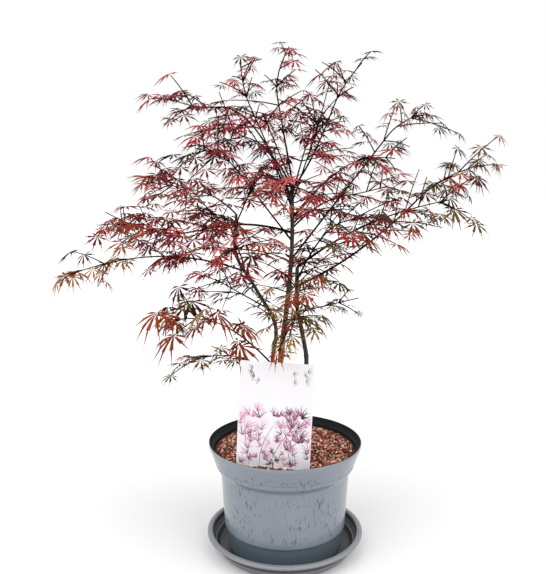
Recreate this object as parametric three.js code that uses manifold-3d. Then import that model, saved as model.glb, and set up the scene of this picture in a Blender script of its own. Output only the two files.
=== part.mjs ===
// A young laceleaf maple with three stems, in a round nursery pot that stands in a saucer.
// Millimetres, +Z up. The origin is on the pot's axis, at the saucer's flat underside.
// +X is the right-hand side seen from the front, and the front looks along +Y.
import * as THREE from 'three';
import { mergeVertices } from 'three/addons/utils/BufferGeometryUtils.js';
import Module from 'manifold-3d';

const wasm = await Module();
wasm.setup();

// Driving dimensions
const GAP = 0.3; // clearance between two pieces that touch
const ROUND_SEGMENTS = 32;

const SAUCER = {
  baseRadius: 120,
  rimRadius: 140.5,
  rimWidth: 10,
  rimDepth: 6,
  height: 31.5,
  wall: 2.4,
  ledgeHeight: 12,
  ledgeWidth: 4,
};
const POT = {
  height: 194,
  wall: 2,
  footRadius: 102,
  footTopRadius: 105.5,
  footHeight: 39,
  bodyRadius: 108.5,
  bodyTopRadius: 115,
  bodyTop: 143,
  collarRadius: 124,
  collarFoot: 153.5,
  collarTopRadius: 125.5,
  collarTop: 159.5,
  lipRadius: 136,
  lipHeight: 11,
  drainHoles: 6,
  drainRadius: 5,
  drainCircle: 82,
};
const SOIL = { belowRim: 17, domeRise: 3, crownRadius: 32 };
const CARD = {
  width: 122,
  height: 178,
  thickness: 0.8,
  corner: 3,
  tongueWidth: 34,
  tongueDepth: 32,
  x: -22,
  y: -100,
  leanDeg: 2, // back from the viewer
  rollDeg: 2.3, // clockwise
  turnDeg: -6, // right edge nearer the viewer
};

const POT_FLOOR = SAUCER.wall + GAP; // height of the pot's underside
const RIM_HEIGHT = POT_FLOOR + POT.height;
const SOIL_EDGE = RIM_HEIGHT - SOIL.belowRim;
const GROUND = SOIL_EDGE + SOIL.domeRise + GAP; // the main stem is cut flat here

const STEM = { sides: 7, flareEnds: 0.08 }; // share of its length over which the root flare dies out
const BOUGH = { sides: 5, steps: 4, tipShare: 0.7 };
const LEADER = { sides: 3, steps: 3, straight: 0.45 }; // share of its span that it keeps its bough's heading

// Each stem runs through these points, from its foot to its fork. Radii are at the foot and the tip.
const STEMS = {
  main_stem: {
    footRadius: 6.2,
    tipRadius: 3,
    flare: 7,
    steps: 13,
    path: [
      [1, 0, GROUND - 10],
      [-7, 2, 250],
      [-8, 4, 340],
      [2, 5, 430],
      [11, 4, 540],
      [11, 5, 655],
    ],
  },
  left_stem: {
    footRadius: 4.6,
    tipRadius: 2.3,
    parent: 'main_stem',
    steps: 13,
    path: [
      [-3, 1, 204],
      [-20, -7, 262],
      [-22, -9, 345],
      [-17, -9, 405],
      [-52, -5, 472],
      [-86, 0, 532],
      [-84, 0, 598],
    ],
  },
  right_stem: {
    footRadius: 5,
    tipRadius: 3.2,
    parent: 'main_stem',
    steps: 11,
    path: [
      [-3, 1, 200],
      [18, -7, 255],
      [37, -8, 338],
      [30, -8, 390],
      [20, -9, 442],
      [20, -9, 508],
    ],
  },
};

// Each limb leaves its stem at a height, turns to a compass angle (0 is +X, 90 is the back), and
// spans reach and rise in an arch. The spray at its tip spans its own reach, rise and turn. A limb
// with no reach is left out, and its spray's own stem meets the trunk.
const limb = (stem, at, turn, reach, rise, arch, radius) => ({ stem, at, turn, reach, rise, arch, radius });
const spray = (turn, reach, rise, width, leaf, bare = 0.1) => ({ turn, reach, rise, width, leaf, bare });
const CROWN = {
  crown_tip: [limb('main_stem', 655, 157, 27, 138, 0, 1.75), spray(-14, 20, 82, 34, 40)],
  top_left: [limb('main_stem', 606, 199, 74, 168, 5, 1.5), spray(150, 18, 78, 38, 38)],
  top_right: [limb('main_stem', 640, -20, 70, 132, -12, 1.65), spray(-12, 46, 70, 38, 36)],
  top_back: [limb('main_stem', 626, 66, 84, 112, 6, 1.5), spray(56, 50, 40, 56, 52)],
  left_upper: [limb('main_stem', 622, 182, 126, 154, 42, 1.65), spray(182, 80, 14, 50, 52)],
  left_shoulder: [limb('main_stem', 552, 214, 112, 122, 0, 1.65), spray(204, 66, 30, 56, 56)],
  left_mid: [limb('left_stem', 598, 160, 66, 38, 6, 1.5), spray(172, 104, 18, 58, 58)],
  left_broad: [limb('main_stem', 566, 187, 156, 6, 12, 2.1), spray(176, 164, 30, 60, 58)],
  left_front: [limb('left_stem', 500, 262, 76, 46, 10, 1.5), spray(280, 80, 10, 56, 56)],
  left_back: [limb('left_stem', 556, 108, 92, 36, 10, 1.5), spray(124, 96, 10, 66, 60)],
  left_tip: [limb('left_stem', 500, 184, 172, 26, 10, 1.65), spray(183, 128, -30, 52, 52)],
  low_left: [limb('left_stem', 336, 202, 86, 76, 6, 1.65), spray(188, 98, 12, 54, 70)],
  low_left_under: [limb('left_stem', 318, 174, 58, 30, 4, 1.4), spray(180, 88, -8, 36, 46)],
  right_low: [limb('right_stem', 430, -4, 0, 0, 0, 1.2), spray(-4, 104, 26, 30, 36, 0.4)],
  right_front: [limb('right_stem', 484, -60, 100, 96, 10, 1.65), spray(-40, 86, 20, 58, 56)],
  right_outer: [limb('right_stem', 508, -12, 150, 88, 8, 2.1), spray(-12, 100, 28, 54, 54)],
  right_tip: [limb('right_stem', 476, 10, 218, 150, -16, 2.1), spray(6, 108, 56, 42, 46)],
  right_top: [limb('main_stem', 520, 8, 168, 212, 0, 1.8), spray(4, 52, 34, 34, 38)],
  right_shoulder: [limb('main_stem', 592, -18, 96, 88, 8, 1.65), spray(-12, 76, 10, 54, 54)],
  right_mid: [limb('main_stem', 574, 14, 92, 54, 10, 1.65), spray(14, 84, 18, 56, 56)],
  right_back: [limb('main_stem', 580, 62, 112, 20, 8, 1.65), spray(54, 96, 16, 66, 60)],
  right_high: [limb('main_stem', 618, -66, 0, 0, 0, 1.5), spray(-64, 98, 136, 54, 52, 0.46)],
  front_upper: [limb('main_stem', 632, 268, 100, 22, 12, 1.65), spray(272, 90, -8, 62, 58)],
  crown_left: [limb('main_stem', 648, 240, 0, 0, 0, 1.5), spray(240, 96, 110, 56, 48, 0.45)],
  left_inner: [limb('left_stem', 580, 44, 0, 0, 0, 1.4), spray(38, 56, 100, 58, 54, 0.36)],
  back_mid: [limb('main_stem', 600, 98, 104, 48, 12, 1.65), spray(104, 96, 16, 68, 60)],
  back_upper: [limb('main_stem', 644, 138, 96, 84, 14, 1.65), spray(140, 84, 30, 62, 58)],
  low_back: [limb('main_stem', 462, 60, 0, 0, 0, 1.5), spray(60, 150, 50, 66, 60, 0.42)],
  low_left_back: [limb('left_stem', 436, 132, 0, 0, 0, 1.5), spray(132, 150, 36, 66, 60, 0.4)],
  low_front: [limb('right_stem', 426, 262, 0, 0, 0, 1.4), spray(262, 84, 8, 56, 52, 0.26)],
};

// How a spray grows
const SPRAY = {
  nodes: 3, // pairs of twigs along the leader
  tipRadius: 0.9, // of the leader
  twigSides: 3,
  twigRadius: 0.65,
  twigTipRadius: 0.42,
  twigLength: 0.9, // of the spray's half width
  twigTaper: 0.3, // share of that length that twigs lose towards the leader's tip
  lengthSpread: 0.2,
  tries: [1, 0.8, 0.64, 0.52], // shares of its length that a twig is tried at, before it is skipped
  fork: 54, // degrees between leader and twig
  forkSpread: 14,
  rollSpread: 40, // degrees either way about the quarter turn between pairs
  overhang: 1.1, // the space reaches past the twigs by this share of a leaf
  margin: 2, // of the cut between two spaces
  clearance: 1.5, // from the stems and boughs to a twig or leaf
};
// A leaf is a thin star of pointed lobes that droop
const LEAF = {
  lobeDegrees: [-106, -52, 0, 52, 106],
  lobeLength: [0.72, 0.94, 1, 0.94, 0.72],
  notch: 0.28,
  heel: 0.2, // how far the blade reaches back along its twig
  thickness: 0.026,
  droop: 0.2,
  tilt: 16, // degrees that a leaf leans out and down
  tiltSpread: 28,
  smallest: 0.8, // size of the smallest leaf in a spray, as a share
  seat: 4.5, // distance from the end of the twig to the middle of the blade
};

const PAINT = {
  pot: { color: 0x7d858c, roughness: 0.45 },
  saucer: { color: 0x84868b, roughness: 0.4 },
  soil: { color: 0x7a4127, roughness: 0.95 },
  card: { color: 0xf3eef0, roughness: 0.35 },
  bark: { color: 0x4b4436, roughness: 0.8 },
  shoots: { color: 0x3b2328, roughness: 0.7 },
  leaves: { color: 0x8a2f3c, roughness: 0.6 },
};
const material = Object.fromEntries(
  Object.entries(PAINT).map(([name, look]) => [name, new THREE.MeshStandardMaterial({ metalness: 0, ...look })]),
);

const degrees = THREE.MathUtils.degToRad;

// Solids and meshes
function solidOf(geometry) {
  const bare = geometry.clone();
  bare.deleteAttribute('normal');
  bare.deleteAttribute('uv');
  const merged = mergeVertices(bare, 1e-4);
  return new wasm.Manifold(
    new wasm.Mesh({
      numProp: 3,
      vertProperties: merged.attributes.position.array,
      triVerts: new Uint32Array(merged.index.array),
    }),
  );
}

function geometryOf(solid) {
  const mesh = solid.getMesh();
  const geometry = new THREE.BufferGeometry()
    .setAttribute('position', new THREE.BufferAttribute(mesh.vertProperties, 3))
    .setIndex(new THREE.BufferAttribute(mesh.triVerts, 1));
  geometry.computeVertexNormals();
  return geometry;
}

// A mesh whose own origin is at a given point, so that it is placed by its position
function meshAt(name, solid, point, look) {
  const geometry = geometryOf(solid).translate(-point.x, -point.y, -point.z);
  const mesh = new THREE.Mesh(geometry, look);
  mesh.name = name;
  mesh.position.copy(point);
  return mesh;
}

// Turned pieces
const ring = (radius, height) => new THREE.Vector2(radius, height);

function turned(profile) {
  return new THREE.LatheGeometry(profile, ROUND_SEGMENTS).rotateX(Math.PI / 2);
}

function saucerProfile() {
  const { baseRadius, rimRadius, rimWidth, rimDepth, height, wall, ledgeHeight, ledgeWidth } = SAUCER;
  const innerRim = rimRadius - rimWidth;
  const round = 1.5; // chamfer that stands for the rolled edge
  return [
    ring(0, 0),
    ring(baseRadius, 0),
    ring(innerRim + 1, height - rimDepth),
    ring(rimRadius - round, height - rimDepth),
    ring(rimRadius, height - rimDepth + round),
    ring(rimRadius, height - round),
    ring(rimRadius - round, height),
    ring(innerRim, height),
    ring(innerRim - wall, ledgeHeight + 1),
    ring(innerRim - wall - ledgeWidth, ledgeHeight),
    ring(baseRadius - wall, wall),
    ring(0, wall),
  ];
}

// The pot's inner wall, from the rim down to the floor, in the pot's own heights
function potInside() {
  const { height, wall, footRadius, bodyTopRadius, bodyTop } = POT;
  const { collarRadius, collarFoot, collarTopRadius, collarTop, lipRadius, lipHeight } = POT;
  const lipInner = lipRadius - 6.5;
  return [
    ring(lipRadius - wall, height),
    ring(lipInner, height - lipHeight),
    ring(lipInner - wall, height - lipHeight - 1),
    ring(collarTopRadius - wall, collarTop),
    ring(collarRadius - wall, collarFoot + wall),
    ring(bodyTopRadius - wall, bodyTop + wall),
    ring(footRadius - wall, wall),
    ring(0, wall),
  ];
}

function potProfile() {
  const { height, footRadius, footTopRadius, footHeight, bodyRadius, bodyTopRadius, bodyTop } = POT;
  const { collarRadius, collarFoot, collarTopRadius, collarTop, lipRadius, lipHeight } = POT;
  return [
    ring(0, 0),
    ring(footRadius, 0),
    ring(footTopRadius, footHeight),
    ring(bodyRadius, footHeight + 2),
    ring(bodyTopRadius, bodyTop),
    ring(collarRadius, collarFoot),
    ring(collarTopRadius, collarTop),
    ring(lipRadius, height - lipHeight / 2),
    ring(lipRadius, height),
    ...potInside(),
  ];
}

function drainHoles() {
  const depth = 4 * POT.wall;
  const holes = [];
  for (let i = 0; i < POT.drainHoles; i++) {
    const angle = (2 * Math.PI * i) / POT.drainHoles;
    const hole = new THREE.CylinderGeometry(POT.drainRadius, POT.drainRadius, depth, 8).rotateX(Math.PI / 2);
    holes.push(solidOf(hole.translate(POT.drainCircle * Math.cos(angle), POT.drainCircle * Math.sin(angle), 0)));
  }
  return wasm.Manifold.union(holes);
}

// Soil fills the pot up to its edge height, a clearance inside the wall, and rises a little at the stems
function soilProfile() {
  const edge = SOIL_EDGE - POT_FLOOR;
  const inside = potInside().map((p) => ring(Math.max(p.x - GAP, 0), p.y));
  const upper = inside.findIndex((p) => p.y < edge);
  const [above, below] = [inside[upper - 1], inside[upper]];
  const share = (edge - below.y) / (above.y - below.y);
  const floor = POT.wall + GAP;
  return [
    ring(0, floor),
    ring(POT.footRadius - POT.wall - 2 * GAP, floor),
    ...inside.slice(upper, -2).reverse(),
    ring(below.x + share * (above.x - below.x), edge),
    ring(SOIL.crownRadius, edge + SOIL.domeRise),
    ring(0, edge + SOIL.domeRise),
  ];
}

// The plant card: a plate with a tongue that stands in a slot in the soil
function cardShape(clearance) {
  const half = CARD.width / 2;
  const shape = new THREE.Shape();
  const tongue = CARD.tongueWidth / 2 + clearance;
  shape.moveTo(-tongue, -CARD.tongueDepth - clearance);
  shape.lineTo(tongue, -CARD.tongueDepth - clearance);
  shape.lineTo(tongue, -clearance);
  shape.lineTo(half, -clearance);
  shape.lineTo(half, CARD.height - CARD.corner);
  shape.absarc(half - CARD.corner, CARD.height - CARD.corner, CARD.corner, 0, Math.PI / 2, false);
  shape.absarc(CARD.corner - half, CARD.height - CARD.corner, CARD.corner, Math.PI / 2, Math.PI, false);
  shape.lineTo(-half, -clearance);
  shape.lineTo(-tongue, -clearance);
  return shape;
}

function cardPlate(clearance) {
  const depth = CARD.thickness + 2 * clearance;
  return new THREE.ExtrudeGeometry(cardShape(clearance), { depth, bevelEnabled: false, curveSegments: 3 })
    .translate(0, 0, -depth / 2)
    .rotateX(Math.PI / 2);
}

function placeCard(object) {
  const roll = degrees(CARD.rollDeg);
  const lift = (CARD.width / 2) * Math.sin(roll);
  object.position.set(CARD.x, CARD.y, SOIL_EDGE + SOIL.domeRise + lift + GAP);
  object.rotation.set(degrees(-CARD.leanDeg), roll, degrees(CARD.turnDeg), 'ZXY');
}

function slotInSoil() {
  const holder = new THREE.Object3D();
  placeCard(holder);
  holder.updateMatrixWorld(true);
  return solidOf(cardPlate(GAP).applyMatrix4(holder.matrixWorld));
}

// The largest body of a solid, without the scraps that a cut leaves
const mainBody = (solid) => solid.decompose().sort((a, b) => b.volume() - a.volume())[0];

// Limbs: a unit cylinder is bent along a curve and given a radius at each step
function tube(curve, radiusAt, sides, steps, grow = 0) {
  const frames = curve.computeFrenetFrames(steps, false);
  const geometry = new THREE.CylinderGeometry(1, 1, 1, sides, steps);
  const place = geometry.attributes.position;
  for (let i = 0; i < place.count; i++) {
    const share = place.getY(i) + 0.5;
    const step = Math.round(share * steps);
    const radius = radiusAt(share) + grow;
    const end = step === 0 ? -grow : step === steps ? grow : 0;
    const point = curve
      .getPointAt(share)
      .addScaledVector(frames.normals[step], place.getX(i) * radius)
      .addScaledVector(frames.binormals[step], -place.getZ(i) * radius)
      .addScaledVector(frames.tangents[step], end);
    place.setXYZ(i, point.x, point.y, point.z);
  }
  return solidOf(geometry);
}

const UP = new THREE.Vector3(0, 0, 1);
const toward = (turn, reach, rise) =>
  new THREE.Vector3(reach * Math.cos(degrees(turn)), reach * Math.sin(degrees(turn)), rise);

// The point of a rising curve at a height
function atHeight(curve, height) {
  let [low, high] = [0, 1];
  for (let i = 0; i < 30; i++) {
    const middle = (low + high) / 2;
    if (curve.getPointAt(middle).z < height) low = middle;
    else high = middle;
  }
  return curve.getPointAt(high);
}

function growStem(name) {
  const { path, footRadius, tipRadius, flare = 0, steps } = STEMS[name];
  const curve = new THREE.CatmullRomCurve3(path.map((p) => new THREE.Vector3(...p)), false, 'centripetal');
  const radiusAt = (share) =>
    footRadius + (tipRadius - footRadius) * share ** 0.8 + flare * Math.max(0, 1 - share / STEM.flareEnds) ** 2;
  return { name, curve, radiusAt, sides: STEM.sides, steps };
}

// Everything below the ground, as a block to cut a stem's foot flat
function belowGround() {
  const block = new THREE.BoxGeometry(1, 1, 1).scale(POT.lipRadius, POT.lipRadius, GROUND);
  return solidOf(block.translate(0, 0, GROUND / 2));
}

function growBough(name, stem) {
  const { at, turn, reach, rise, arch, radius } = CROWN[name][0];
  const foot = atHeight(stem.curve, at);
  const end = foot.clone().add(toward(turn, reach, rise));
  const middle = foot.clone().add(end).multiplyScalar(0.5).addScaledVector(UP, 2 * arch);
  const radiusAt = (share) => radius * (1 - (1 - BOUGH.tipShare) * share);
  return {
    name: 'bough_' + name,
    curve: new THREE.QuadraticBezierCurve3(foot, middle, end),
    radiusAt,
    sides: BOUGH.sides,
    steps: BOUGH.steps,
  };
}

// The leader of a spray grows on from the tip of its bough, or from the stem where it has none
function growLeader(name, carrier, hasBough) {
  const { turn, reach, rise } = CROWN[name][1];
  const { at, radius } = CROWN[name][0];
  const first = hasBough ? carrier.radiusAt(1) : radius;
  const heading = hasBough ? carrier.curve.getTangentAt(1) : toward(turn, reach, rise).normalize();
  const foot = hasBough ? carrier.curve.getPointAt(1).addScaledVector(heading, GAP) : atHeight(carrier.curve, at);
  const run = toward(turn, reach, rise);
  const middle = foot.clone().addScaledVector(heading, LEADER.straight * run.length());
  return {
    name,
    curve: new THREE.QuadraticBezierCurve3(foot, middle, foot.clone().add(run)),
    radiusAt: (share) => first + (SPRAY.tipRadius - first) * share,
    sides: LEADER.sides,
    steps: LEADER.steps,
  };
}

const solidLimb = ({ curve, radiusAt, sides, steps }, grow = 0) => tube(curve, radiusAt, sides, steps, grow);

// Seeded random numbers from 0 to 1
function seeded(seed) {
  let state = seed >>> 0;
  return () => {
    state = (Math.imul(1664525, state) + 1013904223) >>> 0;
    return state / 4294967296;
  };
}
const seedOf = (name) => [...name].reduce((sum, letter) => (Math.imul(31, sum) + letter.charCodeAt(0)) >>> 0, 7);
const wobble = (random, spread) => (2 * random() - 1) * spread;

// One leaf: a star outline between two shallow peaks, that points ahead and faces up and out. Its
// twig ends at the heel point, a little behind the middle.
function leafSolid({ heel, ahead, facing, size }) {
  const left = new THREE.Vector3().crossVectors(facing, ahead);
  const centre = heel.clone().addScaledVector(ahead, LEAF.seat);
  const corner = (angle, radius) =>
    centre
      .clone()
      .addScaledVector(ahead, radius * size * Math.cos(degrees(angle)))
      .addScaledVector(left, radius * size * Math.sin(degrees(angle)))
      .addScaledVector(facing, -LEAF.droop * size * radius * radius);
  const { lobeDegrees, lobeLength } = LEAF;
  const outline = [];
  lobeDegrees.forEach((angle, i) => {
    outline.push(corner(angle, lobeLength[i]));
    const next = lobeDegrees[i + 1];
    outline.push(next === undefined ? corner(180, LEAF.heel) : corner((angle + next) / 2, LEAF.notch));
  });
  const peaks = [1, -1].map((side) => centre.clone().addScaledVector(facing, side * LEAF.thickness * size));
  const [top, bottom] = [outline.length, outline.length + 1];
  const faces = outline.flatMap((_, i) => {
    const next = (i + 1) % outline.length;
    return [i, next, top, next, i, bottom];
  });
  return solidOf(new THREE.BufferGeometry().setFromPoints([...outline, ...peaks]).setIndex(faces));
}

// The space that a spray keeps to: a capsule round its leader, cut off halfway to each other leader
function spaceOf(name, leader) {
  const { bare, width, leaf } = CROWN[name][1];
  return {
    axis: new THREE.Line3(leader.curve.getPointAt(bare), leader.curve.getPointAt(1)),
    radius: width + SPRAY.overhang * leaf,
  };
}

function distanceTo({ axis }, point) {
  return axis.closestPointToPoint(point, true, new THREE.Vector3()).distanceTo(point);
}

function insideSpace(point, own, others) {
  const distance = distanceTo(own, point);
  return distance < own.radius && others.every((other) => distance + SPRAY.margin < distanceTo(other, point));
}

function cornersOf(solid) {
  const mesh = solid.getMesh();
  const corners = [];
  for (let i = 0; i < mesh.vertProperties.length; i += mesh.numProp)
    corners.push(new THREE.Vector3(...mesh.vertProperties.subarray(i, i + 3)));
  return corners;
}

// A leaf ends its twig, and leans out and down from it
function leafOf(heel, heading, leaf, random) {
  const level = new THREE.Vector3(heading.x, heading.y, 0).normalize();
  const tilt = degrees(LEAF.tilt + wobble(random, LEAF.tiltSpread));
  return {
    heel,
    ahead: level.clone().multiplyScalar(Math.cos(tilt)).addScaledVector(UP, -Math.sin(tilt)),
    facing: UP.clone().multiplyScalar(Math.cos(tilt)).addScaledVector(level, Math.sin(tilt)),
    size: leaf * (LEAF.smallest + (1 - LEAF.smallest) * random()),
  };
}

// Pairs of twigs leave the leader at each node, a quarter turn on from the pair before. A leaf
// finishes the leader.
function twigsOf(name, leader, random) {
  const { bare, width, leaf } = CROWN[name][1];
  const twigs = [];
  for (let node = 0; node < SPRAY.nodes; node++) {
    const share = bare + ((1 - bare) * (node + 0.35)) / SPRAY.nodes;
    const base = leader.curve.getPointAt(share);
    const tangent = leader.curve.getTangentAt(share);
    const flat = new THREE.Vector3().crossVectors(tangent, UP).normalize();
    const roll = degrees(90 * node + wobble(random, SPRAY.rollSpread));
    const shrink = 1 - SPRAY.twigTaper * (node / SPRAY.nodes);
    for (const side of [1, -1]) {
      const fork = degrees(SPRAY.fork + wobble(random, SPRAY.forkSpread));
      const out = flat.clone().applyAxisAngle(tangent, roll).multiplyScalar(side);
      const heading = tangent.clone().multiplyScalar(Math.cos(fork)).addScaledVector(out, Math.sin(fork));
      const length = SPRAY.twigLength * width * shrink * (1 + wobble(random, SPRAY.lengthSpread));
      const tip = base.clone().addScaledVector(heading, length);
      twigs.push({ base, tip, leaf: leafOf(tip, heading, leaf, random) });
    }
  }
  const end = leader.curve.getPointAt(1);
  twigs.push({ base: end, tip: end, leaf: leafOf(end, leader.curve.getTangentAt(1), leaf, random) });
  return twigs;
}

function twigSolid(base, tip) {
  const radiusAt = (share) => SPRAY.twigRadius + (SPRAY.twigTipRadius - SPRAY.twigRadius) * share;
  return tube(new THREE.LineCurve3(base, tip), radiusAt, SPRAY.twigSides, 1);
}

// A twig that would leave the space with its leaf, or touch a limb or an earlier leaf, is tried
// shorter, and skipped at last
function growSpray(name, leader, space, neighbours, wood) {
  const random = seeded(seedOf(name));
  const twigs = [];
  const leaves = [];
  const fits = (solid) =>
    cornersOf(solid).every((corner) => insideSpace(corner, space, neighbours)) &&
    [wood, ...leaves].every((obstacle) => solid.intersect(obstacle).isEmpty());
  for (const { base, tip, leaf } of twigsOf(name, leader, random))
    for (const share of SPRAY.tries) {
      const end = base.clone().lerp(tip, share);
      const blade = leafSolid({ ...leaf, heel: end, size: leaf.size * share ** 0.5 });
      const stalk = base === tip ? null : twigSolid(base, end);
      if (!fits(blade) || (stalk && !fits(stalk))) continue;
      leaves.push(blade);
      if (stalk) twigs.push(stalk);
      break;
    }
  return [...twigs, ...leaves];
}

// The whole part
const part = new THREE.Group();
const planter = new THREE.Group();
const plant = new THREE.Group();
part.add(planter, plant);

function addPlanter() {
  const saucer = new THREE.Mesh(turned(saucerProfile()), material.saucer);
  saucer.name = 'saucer';
  const pot = new THREE.Mesh(geometryOf(solidOf(turned(potProfile())).subtract(drainHoles())), material.pot);
  pot.name = 'pot';
  pot.position.z = POT_FLOOR;
  const filling = solidOf(turned(soilProfile())).translate(0, 0, POT_FLOOR).subtract(slotInSoil());
  const soil = new THREE.Mesh(geometryOf(filling), material.soil);
  soil.name = 'soil';
  const card = new THREE.Mesh(cardPlate(0), material.card);
  card.name = 'plant_card';
  placeCard(card);
  planter.add(saucer, pot, soil, card);
}

function addPlant() {
  const stems = {};
  const limbs = [];
  for (const name of Object.keys(STEMS)) {
    stems[name] = growStem(name);
    const parent = stems[STEMS[name].parent];
    const cut = parent ? solidLimb(parent, GAP) : belowGround();
    stems[name].solid = mainBody(solidLimb(stems[name]).subtract(cut));
    limbs.push(stems[name]);
    plant.add(meshAt(name, stems[name].solid, stems[name].curve.getPointAt(0), material.bark));
  }
  const leaders = {};
  for (const name of Object.keys(CROWN)) {
    const [{ stem, reach }] = CROWN[name];
    const parent = stems[stem];
    const room = solidLimb(parent, GAP);
    if (reach > 0) {
      const bough = growBough(name, parent);
      bough.solid = mainBody(solidLimb(bough).subtract(room));
      limbs.push(bough);
      plant.add(meshAt(bough.name, bough.solid, bough.curve.getPointAt(0), material.bark));
      leaders[name] = growLeader(name, bough, true);
      leaders[name].solid = solidLimb(leaders[name]);
    } else {
      leaders[name] = growLeader(name, parent, false);
      leaders[name].solid = mainBody(solidLimb(leaders[name]).subtract(room));
    }
  }
  const names = Object.keys(CROWN);
  const spaces = Object.fromEntries(names.map((name) => [name, spaceOf(name, leaders[name])]));
  const wood = wasm.Manifold.union(limbs.map((grown) => solidLimb(grown, SPRAY.clearance)));
  for (const name of names) {
    const neighbours = names.filter((other) => other !== name).map((other) => spaces[other]);
    const pieces = growSpray(name, leaders[name], spaces[name], neighbours, wood);
    const solid = wasm.Manifold.union([leaders[name].solid, ...pieces]);
    plant.add(meshAt('leaves_' + name, mainBody(solid), leaders[name].curve.getPointAt(0), material.leaves));
  }
}

addPlanter();
addPlant();

export default part;
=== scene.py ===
"""A young laceleaf maple with three stems in a nursery pot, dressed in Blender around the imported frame.

The plant is grown in millimetres by the rule of the part's source, and scaled to metres as its meshes
are made. Everything else is in metres. +Z is up, +X the right-hand side and +Y the back.
"""

import logging
import math
from dataclasses import dataclass, field, replace
from enum import Enum, IntEnum
from typing import Callable, Iterable, Sequence

import bmesh
import bpy
import numpy as np
from mathutils import Matrix, Vector, noise

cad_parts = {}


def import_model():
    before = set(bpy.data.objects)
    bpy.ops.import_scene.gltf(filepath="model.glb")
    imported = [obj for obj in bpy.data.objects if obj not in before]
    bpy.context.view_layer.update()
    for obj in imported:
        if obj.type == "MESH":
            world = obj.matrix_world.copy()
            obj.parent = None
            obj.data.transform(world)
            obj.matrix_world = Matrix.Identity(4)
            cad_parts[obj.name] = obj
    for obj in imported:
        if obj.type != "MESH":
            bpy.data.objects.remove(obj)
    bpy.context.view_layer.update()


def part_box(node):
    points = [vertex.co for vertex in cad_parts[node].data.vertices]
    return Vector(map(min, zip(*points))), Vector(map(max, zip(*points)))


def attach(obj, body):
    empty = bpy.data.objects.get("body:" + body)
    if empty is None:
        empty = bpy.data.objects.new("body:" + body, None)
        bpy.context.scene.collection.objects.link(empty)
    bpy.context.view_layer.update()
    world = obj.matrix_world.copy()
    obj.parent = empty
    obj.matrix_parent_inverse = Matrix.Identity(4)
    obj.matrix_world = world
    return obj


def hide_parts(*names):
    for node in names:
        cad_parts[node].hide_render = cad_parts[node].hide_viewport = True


LOG = logging.getLogger("maple")
MM = 0.001
BODY = "root"
PHOTO_SIZE = (546, 574)  # in pixels
Color = tuple[float, float, float]
Array = np.ndarray
Mesh = bpy.types.Mesh
Node = bpy.types.Node
Piece = bpy.types.Object
Socket = bpy.types.NodeSocket
UP = np.array((0.0, 0.0, 1.0))


# Shader and geometry nodes


class Sketch:
    """Puts nodes into a tree and joins them."""

    def __init__(self, tree: bpy.types.NodeTree) -> None:
        """Starts from the shader or geometry tree to fill."""
        self.tree = tree

    def put(self, kind: str, inputs: dict | None = None, **settings: object) -> Node:
        """Adds one node.

        Args:
            kind: the node's type name.
            inputs: values, or sockets to link from, by the input's name or number.
            settings: properties of the node, such as its operation.

        Returns:
            The new node.
        """
        node = self.tree.nodes.new(kind)
        for name, value in settings.items():
            setattr(node, name, value)
        for name, value in (inputs or {}).items():
            socket = node.inputs[name]
            if isinstance(value, Socket):
                self.tree.links.new(value, socket)
            else:
                socket.default_value = value
        return node

    def math(self, operation: str, *values: object) -> Socket:
        """Adds a Math node that takes numbers or sockets in order, and returns its result's socket."""
        return self.put("ShaderNodeMath", dict(enumerate(values)), operation=operation).outputs[0]

    def times(self, first: object, second: object) -> Socket:
        """Multiplies two numbers or sockets, and returns the result's socket."""
        return self.math("MULTIPLY", first, second)

    def plus(self, first: object, second: object) -> Socket:
        """Adds two numbers or sockets, and returns the result's socket."""
        return self.math("ADD", first, second)

    def height(self, place: Socket) -> Socket:
        """Reads the height of coordinates, and returns its socket."""
        return self.put("ShaderNodeSeparateXYZ", {0: place}).outputs["Z"]

    def noise(self, place: Socket, scale: float, detail: float = 3.0, rough: float = 0.55) -> Socket:
        """Adds a noise pattern that repeats so often in a metre, and returns its strength, 0 to 1."""
        inputs = {"Vector": place, "Scale": scale, "Detail": detail, "Roughness": rough}
        return self.put("ShaderNodeTexNoise", inputs).outputs["Fac"]

    def stretched(self, place: Socket, scale: Sequence[float]) -> Socket:
        """Scales coordinates by a factor for each axis, and returns their socket."""
        return self.put("ShaderNodeMapping", {"Vector": place, "Scale": tuple(scale)}).outputs[0]

    def ramp(self, value: Socket, low: float, high: float) -> Socket:
        """Spreads a stretch of a value over 0 to 1, with soft ends, and returns the result's socket."""
        inputs = {"Value": value, "From Min": low, "From Max": high}
        return self.put("ShaderNodeMapRange", inputs, interpolation_type="SMOOTHSTEP").outputs[0]

    def blend(self, share: Socket, first: object, second: object) -> Socket:
        """Mixes two colours.

        Args:
            share: how much of the second shows.
            first: a colour or a colour's socket.
            second: a colour or a colour's socket.

        Returns:
            The mixed colour's socket.
        """
        node = self.put("ShaderNodeMix", data_type="RGBA")
        self.tree.links.new(share, node.inputs["Factor"])
        sockets = [socket for socket in node.inputs if socket.type == "RGBA"]
        for socket, value in zip(sockets, (first, second)):
            if isinstance(value, Socket):
                self.tree.links.new(value, socket)
            else:
                socket.default_value = (*value, 1.0)
        return next(socket for socket in node.outputs if socket.type == "RGBA")


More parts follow.
